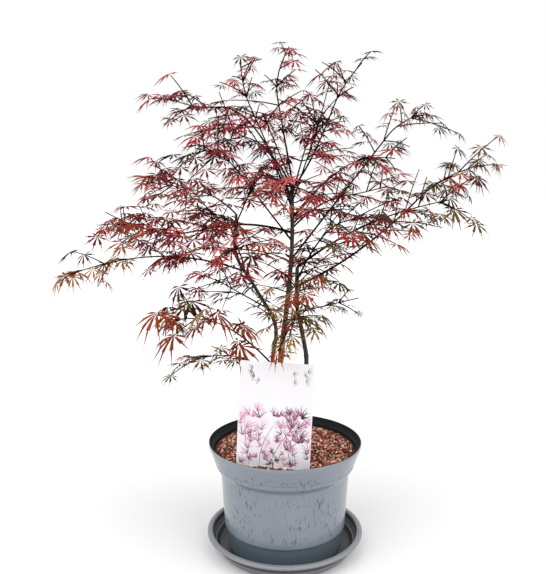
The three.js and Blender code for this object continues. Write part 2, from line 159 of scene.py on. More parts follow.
class Finish:
    """A material that is made when it is first asked for."""

    name: str
    roughness: float

    def paint(self, sketch: Sketch, shader: Node, place: Socket) -> None:
        """Joins the finish's nodes to its shader, over the Object coordinates."""
        raise NotImplementedError

    def material(self) -> bpy.types.Material:
        """Returns the finish's material."""
        made = bpy.data.materials.get(self.name)
        if made:
            return made
        made = bpy.data.materials.new(self.name)
        made.use_nodes = True
        sketch = Sketch(made.node_tree)
        shader = made.node_tree.nodes["Principled BSDF"]
        shader.inputs["Roughness"].default_value = self.roughness
        self.paint(sketch, shader, sketch.put("ShaderNodeTexCoord").outputs["Object"])
        return made

    def bump(self, sketch: Sketch, shader: Node, height: Socket, strength: float, distance: float) -> None:
        """Gives a shader a fine relief of a strength from 0 to 1, and of a depth in metres."""
        inputs = {"Height": height, "Strength": strength, "Distance": distance}
        sketch.tree.links.new(sketch.put("ShaderNodeBump", inputs).outputs[0], shader.inputs["Normal"])


@dataclass(frozen=True)
class PlainFinish(Finish):
    """One plain colour, for leaves, shoots and small chips."""

    name: str
    color: Color
    roughness: float = 0.5
    specular: float = 0.4

    def paint(self, sketch: Sketch, shader: Node, place: Socket) -> None:
        """Sets the plain colour on the shader."""
        shader.inputs["Base Color"].default_value = (*self.color, 1.0)
        shader.inputs["Specular IOR Level"].default_value = self.specular


@dataclass(frozen=True)
class BarkFinish(Finish):
    """Young bark: fine lengthwise streaks over a ground colour, with pale breathing pores."""

    name: str
    ground: Color
    streak: Color
    pore: Color
    streak_share: float = 0.5
    pore_share: float = 0.5
    roughness: float = 0.7
    specular: float = 0.2
    streak_scale: float = 520.0
    pore_scale: float = 900.0
    blotch_scale: float = 60.0
    blotch_share: float = 0.45
    relief: float = 0.0004

    def paint(self, sketch: Sketch, shader: Node, place: Socket) -> None:
        """Joins streaks, pores and a fine relief to the shader."""
        along = sketch.stretched(place, (1.0, 1.0, 0.09))
        streaks = sketch.ramp(sketch.noise(along, self.streak_scale, 4), 0.62 - 0.3 * self.streak_share, 0.75)
        squat = sketch.stretched(place, (1.0, 1.0, 1.6))
        pores = sketch.ramp(sketch.noise(squat, self.pore_scale, 1), 0.66, 0.72)
        pores = sketch.times(pores, self.pore_share)
        blotches = sketch.ramp(sketch.noise(place, self.blotch_scale, 2), 0.35, 0.7)
        shade = tuple(0.55 * part for part in self.ground)
        color = sketch.blend(streaks, self.ground, self.streak)
        color = sketch.blend(sketch.times(blotches, self.blotch_share), color, shade)
        color = sketch.blend(pores, color, self.pore)
        sketch.tree.links.new(color, shader.inputs["Base Color"])
        shader.inputs["Specular IOR Level"].default_value = self.specular
        self.bump(sketch, shader, sketch.plus(streaks, pores), 0.5, self.relief)


@dataclass(frozen=True)
class PlasticFinish(Finish):
    """Moulded plastic: a fine grain, faint clouds, dust, and dark splash marks on a band of its wall."""

    name: str
    ground: Color
    mark: Color
    dust: Color
    marks: float = 0.5
    roughness: float = 0.42
    band: tuple[float, float] = (0.0, 1.0)  # heights that the marks keep between
    coat: float = 0.25
    specular: float = 0.5
    # The lower colour is painted shade on the foot, where it stands in the saucer.
    lower: Color | None = None  # colour below the band
    drip_scale: float = 190.0
    fleck_scale: float = 330.0
    splash_scale: float = 22.0
    cloud_scale: float = 14.0
    grain_scale: float = 1500.0
    relief: float = 0.0003
    coat_roughness: float = 0.08

    def spots(self, sketch: Sketch, place: Socket) -> Socket:
        """Draws the splash marks.

        Args:
            sketch: puts nodes into the material's tree.
            place: the Object coordinates.

        Returns:
            The socket that says how dark a mark is, from 0 to 1.
        """
        drips = sketch.noise(sketch.stretched(place, (1.0, 1.0, 0.4)), self.drip_scale, 2, 0.6)
        flecks = sketch.noise(sketch.stretched(place, (1.0, 1.0, 0.5)), self.fleck_scale, 2, 0.6)
        spots = sketch.ramp(sketch.plus(drips, sketch.times(flecks, 0.5)), 0.82, 0.92)
        height, (low, high) = sketch.height(place), self.band
        zone = sketch.times(sketch.ramp(height, low, low + 0.01), sketch.ramp(height, high, high - 0.02))
        splashed = sketch.ramp(sketch.noise(place, self.splash_scale, 2), 0.42, 0.6)
        zone = sketch.times(zone, sketch.plus(sketch.times(splashed, 0.8), 0.2))
        return sketch.times(sketch.times(spots, zone), self.marks)

    def paint(self, sketch: Sketch, shader: Node, place: Socket) -> None:
        """Joins the marks, the dust and the grain to the shader."""
        spots = self.spots(sketch, place)
        clouds = sketch.ramp(sketch.noise(place, self.cloud_scale, 3), 0.35, 0.75)
        color = sketch.blend(sketch.times(clouds, 0.35), self.ground, self.dust)
        color = sketch.blend(spots, color, self.mark)
        # Below the band the foot takes the lower colour, painted shade.
        if self.lower:
            foot = self.band[0]
            color = sketch.blend(sketch.ramp(sketch.height(place), foot - MM, foot), self.lower, color)
        sketch.tree.links.new(color, shader.inputs["Base Color"])
        rough = sketch.plus(sketch.times(clouds, 0.12), self.roughness)
        sketch.tree.links.new(rough, shader.inputs["Roughness"])
        grain = sketch.math("SUBTRACT", sketch.noise(place, self.grain_scale, 2), sketch.times(spots, 1.5))
        self.bump(sketch, shader, grain, 0.2, self.relief)
        shader.inputs["Specular IOR Level"].default_value = self.specular
        shader.inputs["Coat Weight"].default_value = self.coat
        shader.inputs["Coat Roughness"].default_value = self.coat_roughness


@dataclass(frozen=True)
class GroundFinish(Finish):
    """A loose ground of bark and fibre, in patches of two colours."""

    name: str
    dark: Color
    light: Color
    roughness: float = 0.95
    crumb_scale: float = 420.0
    relief: float = 0.002

    def paint(self, sketch: Sketch, shader: Node, place: Socket) -> None:
        """Joins the patches and a coarse relief to the shader."""
        crumbs = sketch.noise(place, self.crumb_scale, 4, 0.65)
        color = sketch.blend(sketch.ramp(crumbs, 0.35, 0.65), self.dark, self.light)
        sketch.tree.links.new(color, shader.inputs["Base Color"])
        self.bump(sketch, shader, crumbs, 0.9, self.relief)


@dataclass(frozen=True)
class CardFinish(Finish):
    """Coated card: white, with a soft cloudy wash of colour over its lower part."""

    name: str
    paper: Color
    wash: Color
    foot: float
    top: float
    roughness: float = 0.3
    cloud_scale: float = 38.0
    wash_share: float = 0.55
    coat: float = 0.2
    coat_roughness: float = 0.15

    def paint(self, sketch: Sketch, shader: Node, place: Socket) -> None:
        """Joins the wash to the shader, and gives it a clear coat."""
        height, span = sketch.height(place), self.top - self.foot
        rise = sketch.ramp(height, self.foot, self.foot + 0.35 * span)
        fall = sketch.ramp(height, self.top, self.foot + 0.6 * span)
        cloud = sketch.ramp(sketch.noise(place, self.cloud_scale, 2), 0.35, 0.7)
        share = sketch.times(sketch.times(rise, fall), cloud)
        color = sketch.blend(sketch.times(share, self.wash_share), self.paper, self.wash)
        sketch.tree.links.new(color, shader.inputs["Base Color"])
        shader.inputs["Coat Weight"].default_value = self.coat
        shader.inputs["Coat Roughness"].default_value = self.coat_roughness


SOCKETS = {
    "geometry": "NodeSocketGeometry",
    "collection": "NodeSocketCollection",
    "number": "NodeSocketFloat",
    "count": "NodeSocketInt",
}


class Grower:
    """A Geometry Nodes tree that is laid over a mesh, and its result taken as a plain mesh."""

    def __init__(self, name: str, inputs: dict[str, str]) -> None:
        """Makes an empty tree with named inputs.

        Args:
            name: the tree's name.
            inputs: the kind of each input after the geometry, by its name.
        """
        self.tree = bpy.data.node_groups.new(name, "GeometryNodeTree")
        face = self.tree.interface
        face.new_socket("Geometry", in_out="OUTPUT", socket_type=SOCKETS["geometry"])
        kinds = {"Geometry": "geometry", **inputs}
        self.names = {}
        for title, kind in kinds.items():
            socket = face.new_socket(title, in_out="INPUT", socket_type=SOCKETS[kind])
            self.names[title] = socket.identifier
        self.sketch = Sketch(self.tree)
        self.start = self.sketch.put("NodeGroupInput").outputs

    def attribute(self, name: str, data_type: str = "FLOAT") -> Socket:
        """Reads a named attribute of the mesh, and returns its socket."""
        reader = self.sketch.put("GeometryNodeInputNamedAttribute", {"Name": name}, data_type=data_type)
        return reader.outputs[0]

    def place_forms(self, points: Socket, form: Socket, turn: Socket, size: Socket) -> Socket:
        """Puts one of the shapes of the input Forms on each point.

        Args:
            points: the points.
            form: the number of the shape.
            turn: how it is turned.
            size: how large it is.

        Returns:
            The instances' socket.
        """
        inputs = {"Collection": self.start["Forms"], "Separate Children": True, "Reset Children": True}
        inputs = {
            "Points": points,
            "Instance": self.sketch.put("GeometryNodeCollectionInfo", inputs).outputs[0],
            "Pick Instance": True,
            "Instance Index": form,
            "Rotation": turn,
            "Scale": size,
        }
        return self.sketch.put("GeometryNodeInstanceOnPoints", inputs).outputs[0]

    def finish(self, geometry: Socket, finishes: Sequence[Finish], pick: str = "") -> None:
        """Ends the tree: makes instances real, and sets the finishes.

        Args:
            geometry: the grown geometry.
            finishes: one finish, or several to pick from.
            pick: the attribute that holds each face's finish as a number, where there are several.
        """
        last = self.sketch.put("GeometryNodeRealizeInstances", {0: geometry}).outputs[0]
        for i, finish in enumerate(finishes):
            inputs = {"Geometry": last, "Material": finish.material()}
            if pick:
                test = self.sketch.put("FunctionNodeCompare", data_type="INT", operation="EQUAL")
                self.tree.links.new(self.attribute(pick, "INT"), test.inputs[2])
                test.inputs[3].default_value = i
                inputs["Selection"] = test.outputs[0]
            last = self.sketch.put("GeometryNodeSetMaterial", inputs).outputs[0]
        self.sketch.put("NodeGroupOutput", {0: last})

    def grow(self, name: str, bed: Piece, **values: object) -> Piece:
        """Lays the tree over a bed, and takes the result as a plain mesh.

        Args:
            name: the new piece's name.
            bed: the object that carries the points, edges or faces.
            values: the tree's inputs by name, with spaces as underlines.

        Returns:
            The new piece. The bed is removed.
        """
        modifier = bed.modifiers.new(name, "NODES")
        modifier.node_group = self.tree
        for key, value in values.items():
            modifier[self.names[key.replace("_", " ")]] = value
        graph = bpy.context.evaluated_depsgraph_get()
        mesh = bpy.data.meshes.new_from_object(bed.evaluated_get(graph))
        mesh.name = name
        keep = {"position", "sharp_face", "material_index", "UVMap"}
        names = [attribute.name for attribute in mesh.attributes]
        for spare in [name for name in names if name not in keep and not name.startswith(".")]:
            mesh.attributes.remove(mesh.attributes[spare])
        bpy.data.objects.remove(bed)
        return link(name, mesh)


# Meshes


def link(name: str, mesh: Mesh) -> Piece:
    """Makes an object of a mesh and puts it into the scene.

    Args:
        name: the object's name.
        mesh: its mesh, in the row frame.

    Returns:
        The object, at the origin.
    """
    made = bpy.data.objects.new(name, mesh)
    bpy.context.scene.collection.objects.link(made)
    return made


def mesh_of(name: str, points: Iterable, faces: Iterable, smooth: bool = True) -> Mesh:
    """Makes a mesh of points and faces.

    Args:
        name: the mesh's name.
        points: its points in metres.
        faces: its faces, as numbers of points.
        smooth: whether it is shaded smooth.

    Returns:
        The mesh.
    """
    made = bpy.data.meshes.new(name)
    made.from_pydata([tuple(map(float, p)) for p in points], [], [tuple(f) for f in faces])
    made.polygons.foreach_set("use_smooth", [smooth] * len(made.polygons))
    made.update()
    return made


def settle(piece: Piece, nodes: Sequence[str] = (), finish: Finish | None = None) -> None:
    """Fixes a finished piece to the frame, and reports it.

    Args:
        piece: the piece.
        nodes: the CAD nodes that it stands for.
        finish: its finish, where the mesh has none yet.
    """
    if finish:
        piece.data.materials.clear()
        piece.data.materials.append(finish.material())
    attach(piece, BODY)
    if nodes:
        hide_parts(*nodes)
    piece.data.calc_loop_triangles()
    LOG.info("%s: %d triangles, stands for %d nodes", piece.name, len(piece.data.loop_triangles), len(nodes))


def band(first: int, second: int, count: int, flip: bool = False) -> list[tuple[int, ...]]:
    """Joins two closed rings of points by a band of faces.

    Args:
        first: the number of the first ring's first point.
        second: the number of the second ring's first point.
        count: how many points each ring has.
        flip: whether the faces look the other way.

    Returns:
        The faces.
    """
    sides = [(j, (j + 1) % count) for j in range(count)]
    if flip:
        return [(first + j, second + j, second + k, first + k) for j, k in sides]
    return [(first + j, first + k, second + k, second + j) for j, k in sides]


def lathe(name: str, profile: Sequence[tuple[float, float]], turns: int) -> Mesh:
    """Turns a profile about the Z axis. The profile starts and ends on the axis.

    Args:
        name: the mesh's name.
        profile: radius and height of each point, in metres, from the underside round to the top.
        turns: how many stretches the circle has.

    Returns:
        The closed mesh, with its faces outwards.
    """
    angles = np.linspace(0, 2 * math.pi, turns, endpoint=False)
    rings = profile[1:-1]
    points = [(r * math.cos(a), r * math.sin(a), z) for r, z in rings for a in angles]
    faces = []
    for i in range(len(rings) - 1):
        faces += band(i * turns, (i + 1) * turns, turns)
    for (_, z), ring, order in ((profile[0], 0, -1), (profile[-1], len(rings) - 1, 1)):
        middle = len(points)
        points.append((0.0, 0.0, z))
        for j in range(turns):
            edge = (ring * turns + j, ring * turns + (j + 1) % turns)[::order]
            faces.append((*edge, middle))
    return mesh_of(name, points, faces)


def rounded(corners: Sequence[tuple[float, float, float]], steps: int = 4) -> list[tuple[float, float]]:
    """Rounds the corners of an open outline.

    Args:
        corners: place and rounding radius of each corner. The ends aren't rounded.
        steps: how many stretches an arc has.

    Returns:
        The outline's points.
    """
    path = [Vector((c[0], c[1])) for c in corners]
    made = [path[0]]
    for i in range(1, len(path) - 1):
        before, after = path[i - 1] - path[i], path[i + 1] - path[i]
        reach = min(corners[i][2], 0.45 * before.length, 0.45 * after.length)
        if reach <= 0:
            made.append(path[i])
            continue
        first = path[i] + before.normalized() * reach
        last = path[i] + after.normalized() * reach
        for j in range(steps + 1):
            t = j / steps
            made.append(first * (1 - t) ** 2 + path[i] * 2 * t * (1 - t) + last * t * t)
    made.append(path[-1])
    return [(max(p.x, 0.0), p.y) for p in made]


# Curves and growth, in millimetres


def unit(vector: Array) -> Array:
    """Returns a vector at length 1."""
    return vector / max(float(np.linalg.norm(vector)), 1e-9)


def toward(turn: float, reach: float, rise: float) -> Array:
    """Gives the step of a level reach and a rise, at degrees from the right round by the back."""
    angle = math.radians(turn)
    return np.array((reach * math.cos(angle), reach * math.sin(angle), rise))


def turned(vector: Array, axis: Array, angle: float) -> Array:
    """Turns a vector by radians about an axis of length 1."""
    c, s = math.cos(angle), math.sin(angle)
    return vector * c + np.cross(axis, vector) * s + axis * float(axis @ vector) * (1 - c)


class Path:
    """A curve that is read by share of its length, from 0 at its foot to 1 at its tip."""

    divisions = 200
    nudge = 1e-4

    def __init__(self, point: Callable[[float], Array]) -> None:
        """Measures a curve.

        Args:
            point: gives the curve's point for a number from 0 to 1.
        """
        self.point = point
        self.shares = np.linspace(0, 1, self.divisions + 1)
        points = np.array([point(t) for t in self.shares])
        steps = np.linalg.norm(np.diff(points, axis=0), axis=1)
        self.lengths = np.concatenate(([0.0], np.cumsum(steps)))
        self.length = float(self.lengths[-1])

    def place(self, share: float) -> float:
        """Gives the curve's own number for a share of its length."""
        return float(np.interp(share * self.length, self.lengths, self.shares))

    def at(self, share: float) -> Array:
        """Gives the point at a share of the length."""
        return self.point(self.place(share))

    def heading(self, share: float) -> Array:
        """Gives the direction at a share of the length."""
        place = self.place(share)
        ahead, behind = min(place + self.nudge, 1.0), max(place - self.nudge, 0.0)
        return unit(self.point(ahead) - self.point(behind))

    def at_height(self, height: float) -> Array:
        """Gives the point of a rising curve at a height."""
        low, high = 0.0, 1.0
        for _ in range(30):
            middle = (low + high) / 2
            if self.at(middle)[2] < height:
                low = middle
            else:
                high = middle
        return self.at(high)

    @classmethod
    def through(cls, points: Sequence[Sequence[float]]) -> "Path":
        """Makes a centripetal Catmull-Rom curve.

        Args:
            points: the points that it runs through.

        Returns:
            The curve.
        """
        knots = np.array(points, float)
        knots = np.vstack((2 * knots[0] - knots[1], knots, 2 * knots[-1] - knots[-2]))
        last = len(points) - 2

        def point(t: float) -> Array:
            """Gives the curve's point for a number from 0 to 1."""
            whole = min(int(t * (last + 1)), last)
            part = t * (last + 1) - whole
            p0, p1, p2, p3 = knots[whole : whole + 4]
            gaps = (p1 - p0, p2 - p1, p3 - p2)
            d0, d1, d2 = (math.sqrt(float(np.linalg.norm(gap))) for gap in gaps)
            leave = ((p1 - p0) / d0 - (p2 - p0) / (d0 + d1) + (p2 - p1) / d1) * d1
            reach = ((p2 - p1) / d1 - (p3 - p1) / (d1 + d2) + (p3 - p2) / d2) * d1
            square, cube = part * part, part * part * part
            bend = (-3 * p1 + 3 * p2 - 2 * leave - reach) * square
            twist = (2 * p1 - 2 * p2 + leave + reach) * cube
            return p1 + leave * part + (bend + twist)

        return cls(point)

    @classmethod
    def arch(cls, foot: Array, middle: Array, end: Array) -> "Path":
        """Makes a quadratic curve from foot to end, bent towards a middle point."""
        return cls(lambda t: foot * (1 - t) ** 2 + middle * 2 * t * (1 - t) + end * t * t)


class Draws:
    """Seeded random numbers, the same as the part's source draws for the same name."""

    def __init__(self, name: str) -> None:
        """Takes the seed from a name."""
        self.state = 7
        for letter in name:
            self.state = (31 * self.state + ord(letter)) % 2**32

    def share(self) -> float:
        """Draws a number from 0 to 1."""
        self.state = (1664525 * self.state + 1013904223) % 2**32
        return self.state / 2**32

    def wobble(self, spread: float) -> float:
        """Draws a number up to the spread, either way."""
        return (2 * self.share() - 1) * spread

    def skip(self, count: int) -> None:
        """Draws numbers that aren't used."""
        for _ in range(count):
            self.share()

    def pick(self, things: Sequence) -> object:
        """Draws one of several things."""
        return things[int(self.share() * len(things)) % len(things)]


@dataclass(frozen=True)
class StemPlan:
    """A stem: the points that it runs through from its foot to its fork, and its radii."""

    foot_radius: float
    tip_radius: float
    path: tuple
    flare: float = 0.0


@dataclass(frozen=True)
class Limb:
    """A bough that leaves its stem at a height, and spans a reach and a rise in an arch."""

    stem: str
    at: float
    turn: float
    reach: float
    rise: float
    arch: float
    radius: float


@dataclass(frozen=True)
class Spray:
    """The leader that carries a mass of foliage, and the size of the mass."""

    turn: float
    reach: float
    rise: float
    width: float
    leaf: float
    bare: float = 0.1


class Tint(Enum):
    """The autumn colours, each with its plain base colour."""

    WINE = (0.135, 0.01, 0.014)
    CRIMSON = (0.28, 0.021, 0.026)
    ROSE = (0.43, 0.072, 0.074)
    # PLUM is a dark purple leaf colour, made near black as painted shade for the depths of the crown.
    PLUM = (0.018, 0.002, 0.003)
    RUST = (0.26, 0.045, 0.015)
    ORANGE = (0.37, 0.1, 0.025)
    TAN = (0.29, 0.16, 0.05)
    OLIVE = (0.12, 0.07, 0.016)
    MOSS = (0.055, 0.04, 0.01)
    BROWN = (0.06, 0.012, 0.007)


@dataclass(frozen=True)
class Season:
    """How far a spray has turned colour, how large its leaves are and how they hang."""

    tints: tuple
    size: float = 0.6
    hang: float = 0.0
    missing: float = 0.0
    crowding: float = 1.0

    def but(self, **changes: float) -> "Season":
        """Gives the same season with some values of its own."""
        return replace(self, **changes)


WINE_RED = Season((Tint.WINE, Tint.WINE, Tint.CRIMSON, Tint.PLUM, Tint.ROSE, Tint.CRIMSON))
BRIGHT_RED = Season((Tint.CRIMSON, Tint.ROSE, Tint.CRIMSON, Tint.WINE, Tint.RUST, Tint.WINE))
FLAME = Season((Tint.TAN, Tint.ORANGE, Tint.RUST, Tint.TAN, Tint.BROWN), 0.66, 22, 0.45)
RED_BROWN = Season((Tint.BROWN, Tint.WINE, Tint.RUST, Tint.OLIVE, Tint.PLUM, Tint.CRIMSON))
DARK_OLIVE = Season((Tint.OLIVE, Tint.BROWN, Tint.MOSS, Tint.WINE, Tint.OLIVE, Tint.RUST), 0.62, 16)
OLD_GOLD = Season((Tint.RUST, Tint.OLIVE, Tint.RUST, Tint.TAN, Tint.BROWN), 0.72, 28, 0.08, 0.7)
GREEN_TAN = Season((Tint.OLIVE, Tint.TAN, Tint.MOSS, Tint.TAN, Tint.RUST), 0.62, 12, 0.1)


def stem_plans(ground: float) -> dict[str, StemPlan]:
    """Gives the three stems.

    Args:
        ground: the height where the main stem is cut flat.

    Returns:
        Each stem's plan by its node's name.
    """
    return {
        "main_stem": StemPlan(
            foot_radius=6.2,
            tip_radius=3,
            path=((1, 0, ground - 10), (-7, 2, 250), (-8, 4, 340), (2, 5, 430), (11, 4, 540), (11, 5, 655)),
            flare=7,
        ),
        "left_stem": StemPlan(
            foot_radius=4.6,
            tip_radius=2.3,
            path=(
                (-3, 1, 204),
                (-20, -7, 262),
                (-22, -9, 345),
                (-17, -9, 405),
                (-52, -5, 472),
                (-86, 0, 532),
                (-84, 0, 598),
            ),
        ),
        "right_stem": StemPlan(
            foot_radius=5,
            tip_radius=3.2,
            path=((-3, 1, 200), (18, -7, 255), (37, -8, 338), (30, -8, 390), (20, -9, 442), (20, -9, 508)),
        ),
    }


CROWN: dict[str, tuple[Limb, Spray]] = {
    "crown_tip": (Limb("main_stem", 655, 157, 27, 138, 0, 1.75), Spray(-14, 20, 82, 34, 40)),
    "top_left": (Limb("main_stem", 606, 199, 74, 168, 5, 1.5), Spray(150, 18, 78, 38, 38)),
    "top_right": (Limb("main_stem", 640, -20, 70, 132, -12, 1.65), Spray(-12, 46, 70, 38, 36)),
    "top_back": (Limb("main_stem", 626, 66, 84, 112, 6, 1.5), Spray(56, 50, 40, 56, 52)),
    "left_upper": (Limb("main_stem", 622, 182, 126, 154, 42, 1.65), Spray(182, 80, 14, 50, 52)),
    "left_shoulder": (Limb("main_stem", 552, 214, 112, 122, 0, 1.65), Spray(204, 66, 30, 56, 56)),
    "left_mid": (Limb("left_stem", 598, 160, 66, 38, 6, 1.5), Spray(172, 104, 18, 58, 58)),
    "left_broad": (Limb("main_stem", 566, 187, 156, 6, 12, 2.1), Spray(176, 164, 30, 60, 58)),
    "left_front": (Limb("left_stem", 500, 262, 76, 46, 10, 1.5), Spray(280, 80, 10, 56, 56)),
    "left_back": (Limb("left_stem", 556, 108, 92, 36, 10, 1.5), Spray(124, 96, 10, 66, 60)),
    "left_tip": (Limb("left_stem", 500, 184, 172, 26, 10, 1.65), Spray(183, 128, -30, 52, 52)),
    "low_left": (Limb("left_stem", 336, 202, 86, 76, 6, 1.65), Spray(188, 98, 12, 54, 70)),
    "low_left_under": (Limb("left_stem", 318, 174, 58, 30, 4, 1.4), Spray(180, 88, -8, 36, 46)),
    "right_low": (Limb("right_stem", 430, -4, 0, 0, 0, 1.2), Spray(-4, 104, 26, 30, 36, 0.4)),
    "right_front": (Limb("right_stem", 484, -60, 100, 96, 10, 1.65), Spray(-40, 86, 20, 58, 56)),
    "right_outer": (Limb("right_stem", 508, -12, 150, 88, 8, 2.1), Spray(-12, 100, 28, 54, 54)),
    "right_tip": (Limb("right_stem", 476, 10, 218, 150, -16, 2.1), Spray(6, 108, 56, 42, 46)),
    "right_top": (Limb("main_stem", 520, 8, 168, 212, 0, 1.8), Spray(4, 52, 34, 34, 38)),
    "right_shoulder": (Limb("main_stem", 592, -18, 96, 88, 8, 1.65), Spray(-12, 76, 10, 54, 54)),
    "right_mid": (Limb("main_stem", 574, 14, 92, 54, 10, 1.65), Spray(14, 84, 18, 56, 56)),
    "right_back": (Limb("main_stem", 580, 62, 112, 20, 8, 1.65), Spray(54, 96, 16, 66, 60)),
    "right_high": (Limb("main_stem", 618, -66, 0, 0, 0, 1.5), Spray(-64, 98, 136, 54, 52, 0.46)),
    "front_upper": (Limb("main_stem", 632, 268, 100, 22, 12, 1.65), Spray(272, 90, -8, 62, 58)),
    "crown_left": (Limb("main_stem", 648, 240, 0, 0, 0, 1.5), Spray(240, 96, 110, 56, 48, 0.45)),
    "left_inner": (Limb("left_stem", 580, 44, 0, 0, 0, 1.4), Spray(38, 56, 100, 58, 54, 0.36)),
    "back_mid": (Limb("main_stem", 600, 98, 104, 48, 12, 1.65), Spray(104, 96, 16, 68, 60)),
    "back_upper": (Limb("main_stem", 644, 138, 96, 84, 14, 1.65), Spray(140, 84, 30, 62, 58)),
    "low_back": (Limb("main_stem", 462, 60, 0, 0, 0, 1.5), Spray(60, 150, 50, 66, 60, 0.42)),
    "low_left_back": (Limb("left_stem", 436, 132, 0, 0, 0, 1.5), Spray(132, 150, 36, 66, 60, 0.4)),
    "low_front": (Limb("right_stem", 426, 262, 0, 0, 0, 1.4), Spray(262, 84, 8, 56, 52, 0.26)),
}

SEASONS: dict[str, Season] = {
    "crown_tip": WINE_RED,
    "top_left": WINE_RED.but(missing=0.2),
    "top_right": RED_BROWN,
    "top_back": WINE_RED,
    "left_upper": WINE_RED.but(crowding=0.9),
    "left_shoulder": WINE_RED.but(crowding=0.72),
    "left_mid": BRIGHT_RED.but(crowding=0.7),
    "left_broad": BRIGHT_RED.but(crowding=0.55),
    "left_front": BRIGHT_RED,
    "left_back": WINE_RED,
    "left_tip": FLAME,
    "low_left": OLD_GOLD,
    "low_left_under": GREEN_TAN.but(missing=0.3),
    "right_low": RED_BROWN.but(missing=0.1),
    "right_front": RED_BROWN.but(missing=0.3),
    "right_outer": DARK_OLIVE.but(missing=0.1),
    "right_tip": DARK_OLIVE.but(missing=0.42),
    "right_top": DARK_OLIVE.but(missing=0.3),
    "right_shoulder": WINE_RED.but(crowding=0.9),
    "right_mid": RED_BROWN.but(missing=0.2),
    "right_back": RED_BROWN,
    "right_high": WINE_RED,
    "front_upper": BRIGHT_RED.but(missing=0.65),
    "crown_left": WINE_RED,
    "left_inner": WINE_RED,
    "back_mid": WINE_RED.but(missing=0.2),
    "back_upper": WINE_RED,
    "low_back": RED_BROWN,
    "low_left_back": RED_BROWN.but(missing=0.2),
    "low_front": GREEN_TAN.but(crowding=0.8),
}


@dataclass(frozen=True)
class Opening:
    """A round patch of open sky in the crown: its middle and radius, in pixels of the photograph."""

    column: float
    row: float
    radius: float


SKY = (
    Opening(218, 66, 17),
    Opening(268, 62, 10),
    Opening(314, 60, 11),
    Opening(378, 84, 24),
    Opening(352, 115, 6),
    Opening(424, 140, 18),
    Opening(203, 117, 5),
    Opening(310, 168, 9),
    Opening(252, 131, 7),
    Opening(252, 217, 9),
    Opening(115, 184, 20),
    Opening(76, 212, 26),
    Opening(180, 270, 6),
    Opening(122, 290, 10),
    Opening(350, 338, 24),
    Opening(385, 285, 36),
    Opening(364, 256, 9),
    Opening(366, 186, 8),
    Opening(218, 385, 22),
    Opening(438, 246, 20),
    Opening(136, 130, 16),
    Opening(430, 172, 10),
    Opening(392, 128, 7),
    Opening(106, 212, 7),
    Opening(250, 374, 15),
    Opening(98, 300, 10),
    Opening(203, 341, 13),
    Opening(150, 172, 6),
    Opening(398, 160, 6),
    Opening(288, 378, 14),
    Opening(250, 105, 6),
    Opening(190, 380, 16),
)


@dataclass(frozen=True)
class Branch:
    """A limb or twig: its curve and its radii."""

    path: Path
    foot_radius: float
    tip_radius: float
    flare: float = 0.0
    taper: float = 1.0
    flare_ends: float = 0.08  # share of the length over which the flare dies out

    def radius(self, share: float) -> float:
        """Gives the radius at a share of the length."""
        spread = self.flare * max(0.0, 1 - share / self.flare_ends) ** 2
        return self.foot_radius + (self.tip_radius - self.foot_radius) * share**self.taper + spread


@dataclass(frozen=True)
class Space:
    """The room of one spray: a capsule round its leader, cut off halfway to each other leader."""

    start: Array
    end: Array
    radius: float

    def distance(self, points: Array) -> Array:
        """Gives how far points lie from the leader."""
        span = self.end - self.start
        shares = np.clip((points - self.start) @ span / max(float(span @ span), 1e-9), 0, 1)
        return np.linalg.norm(points - self.start - shares[:, None] * span, axis=1)

    def holds(self, points: Array, others: Sequence["Space"], margin: float) -> bool:
        """Tells whether all the points lie in the room.

        Args:
            points: the points, one a row.
            others: the other sprays' rooms.
            margin: the clearance along the cuts between two rooms.

        Returns:
            True if none lies outside.
        """
        own = self.distance(points)
        return bool((own < self.radius).all()) and all(
            bool((own + margin < other.distance(points)).all()) for other in others
        )


@dataclass(frozen=True)
class Leaf:
    """Where a leaf sits, which way it points and faces, and its size, form and tint."""

    heel: Array
    ahead: Array
    facing: Array
    size: float
    form: int
    tint: int


@dataclass
class Skeleton:
    """The stems, boughs and leaders, grown by the rule of the part's source."""

    ground: float
    stem_taper: float = 0.8
    bough_tip_share: float = 0.7
    leader_straight: float = 0.45
    leader_tip_radius: float = 0.9
    overhang: float = 1.1
    stems: dict[str, Branch] = field(default_factory=dict)
    boughs: dict[str, Branch] = field(default_factory=dict)
    leaders: dict[str, Branch] = field(default_factory=dict)
    spaces: dict[str, Space] = field(default_factory=dict)

    def grow(self) -> None:
        """Grows every limb."""
        for name, plan in stem_plans(self.ground).items():
            path = Path.through(plan.path)
            self.stems[name] = Branch(path, plan.foot_radius, plan.tip_radius, plan.flare, self.stem_taper)
        for name, (limb, spray) in CROWN.items():
            foot = self.stems[limb.stem].path.at_height(limb.at)
            run = toward(spray.turn, spray.reach, spray.rise)
            if limb.reach > 0:
                end = foot + toward(limb.turn, limb.reach, limb.rise)
                path = Path.arch(foot, (foot + end) / 2 + 2 * limb.arch * UP, end)
                bough = Branch(path, limb.radius, self.bough_tip_share * limb.radius)
                self.boughs[name] = bough
                foot, heading, radius = end, path.heading(1), bough.tip_radius
            else:
                heading, radius = unit(run), limb.radius
            middle = foot + heading * self.leader_straight * float(np.linalg.norm(run))
            leader = Branch(Path.arch(foot, middle, foot + run), radius, self.leader_tip_radius)
            self.leaders[name] = leader
            room = spray.width + self.overhang * spray.leaf
            self.spaces[name] = Space(leader.path.at(spray.bare), leader.path.at(1), room)

    def wood_points(self, step: float = 6.0) -> Array:
        """Gives points along the stems and boughs, for leaves to keep clear of.

        Args:
            step: the distance between two points.

        Returns:
            The points, one a row.
        """
        points = []
        for limb in (*self.stems.values(), *self.boughs.values()):
            count = max(2, int(limb.path.length / step))
            points += [limb.path.at(share) for share in np.linspace(0, 1, count)]
        return np.array(points)


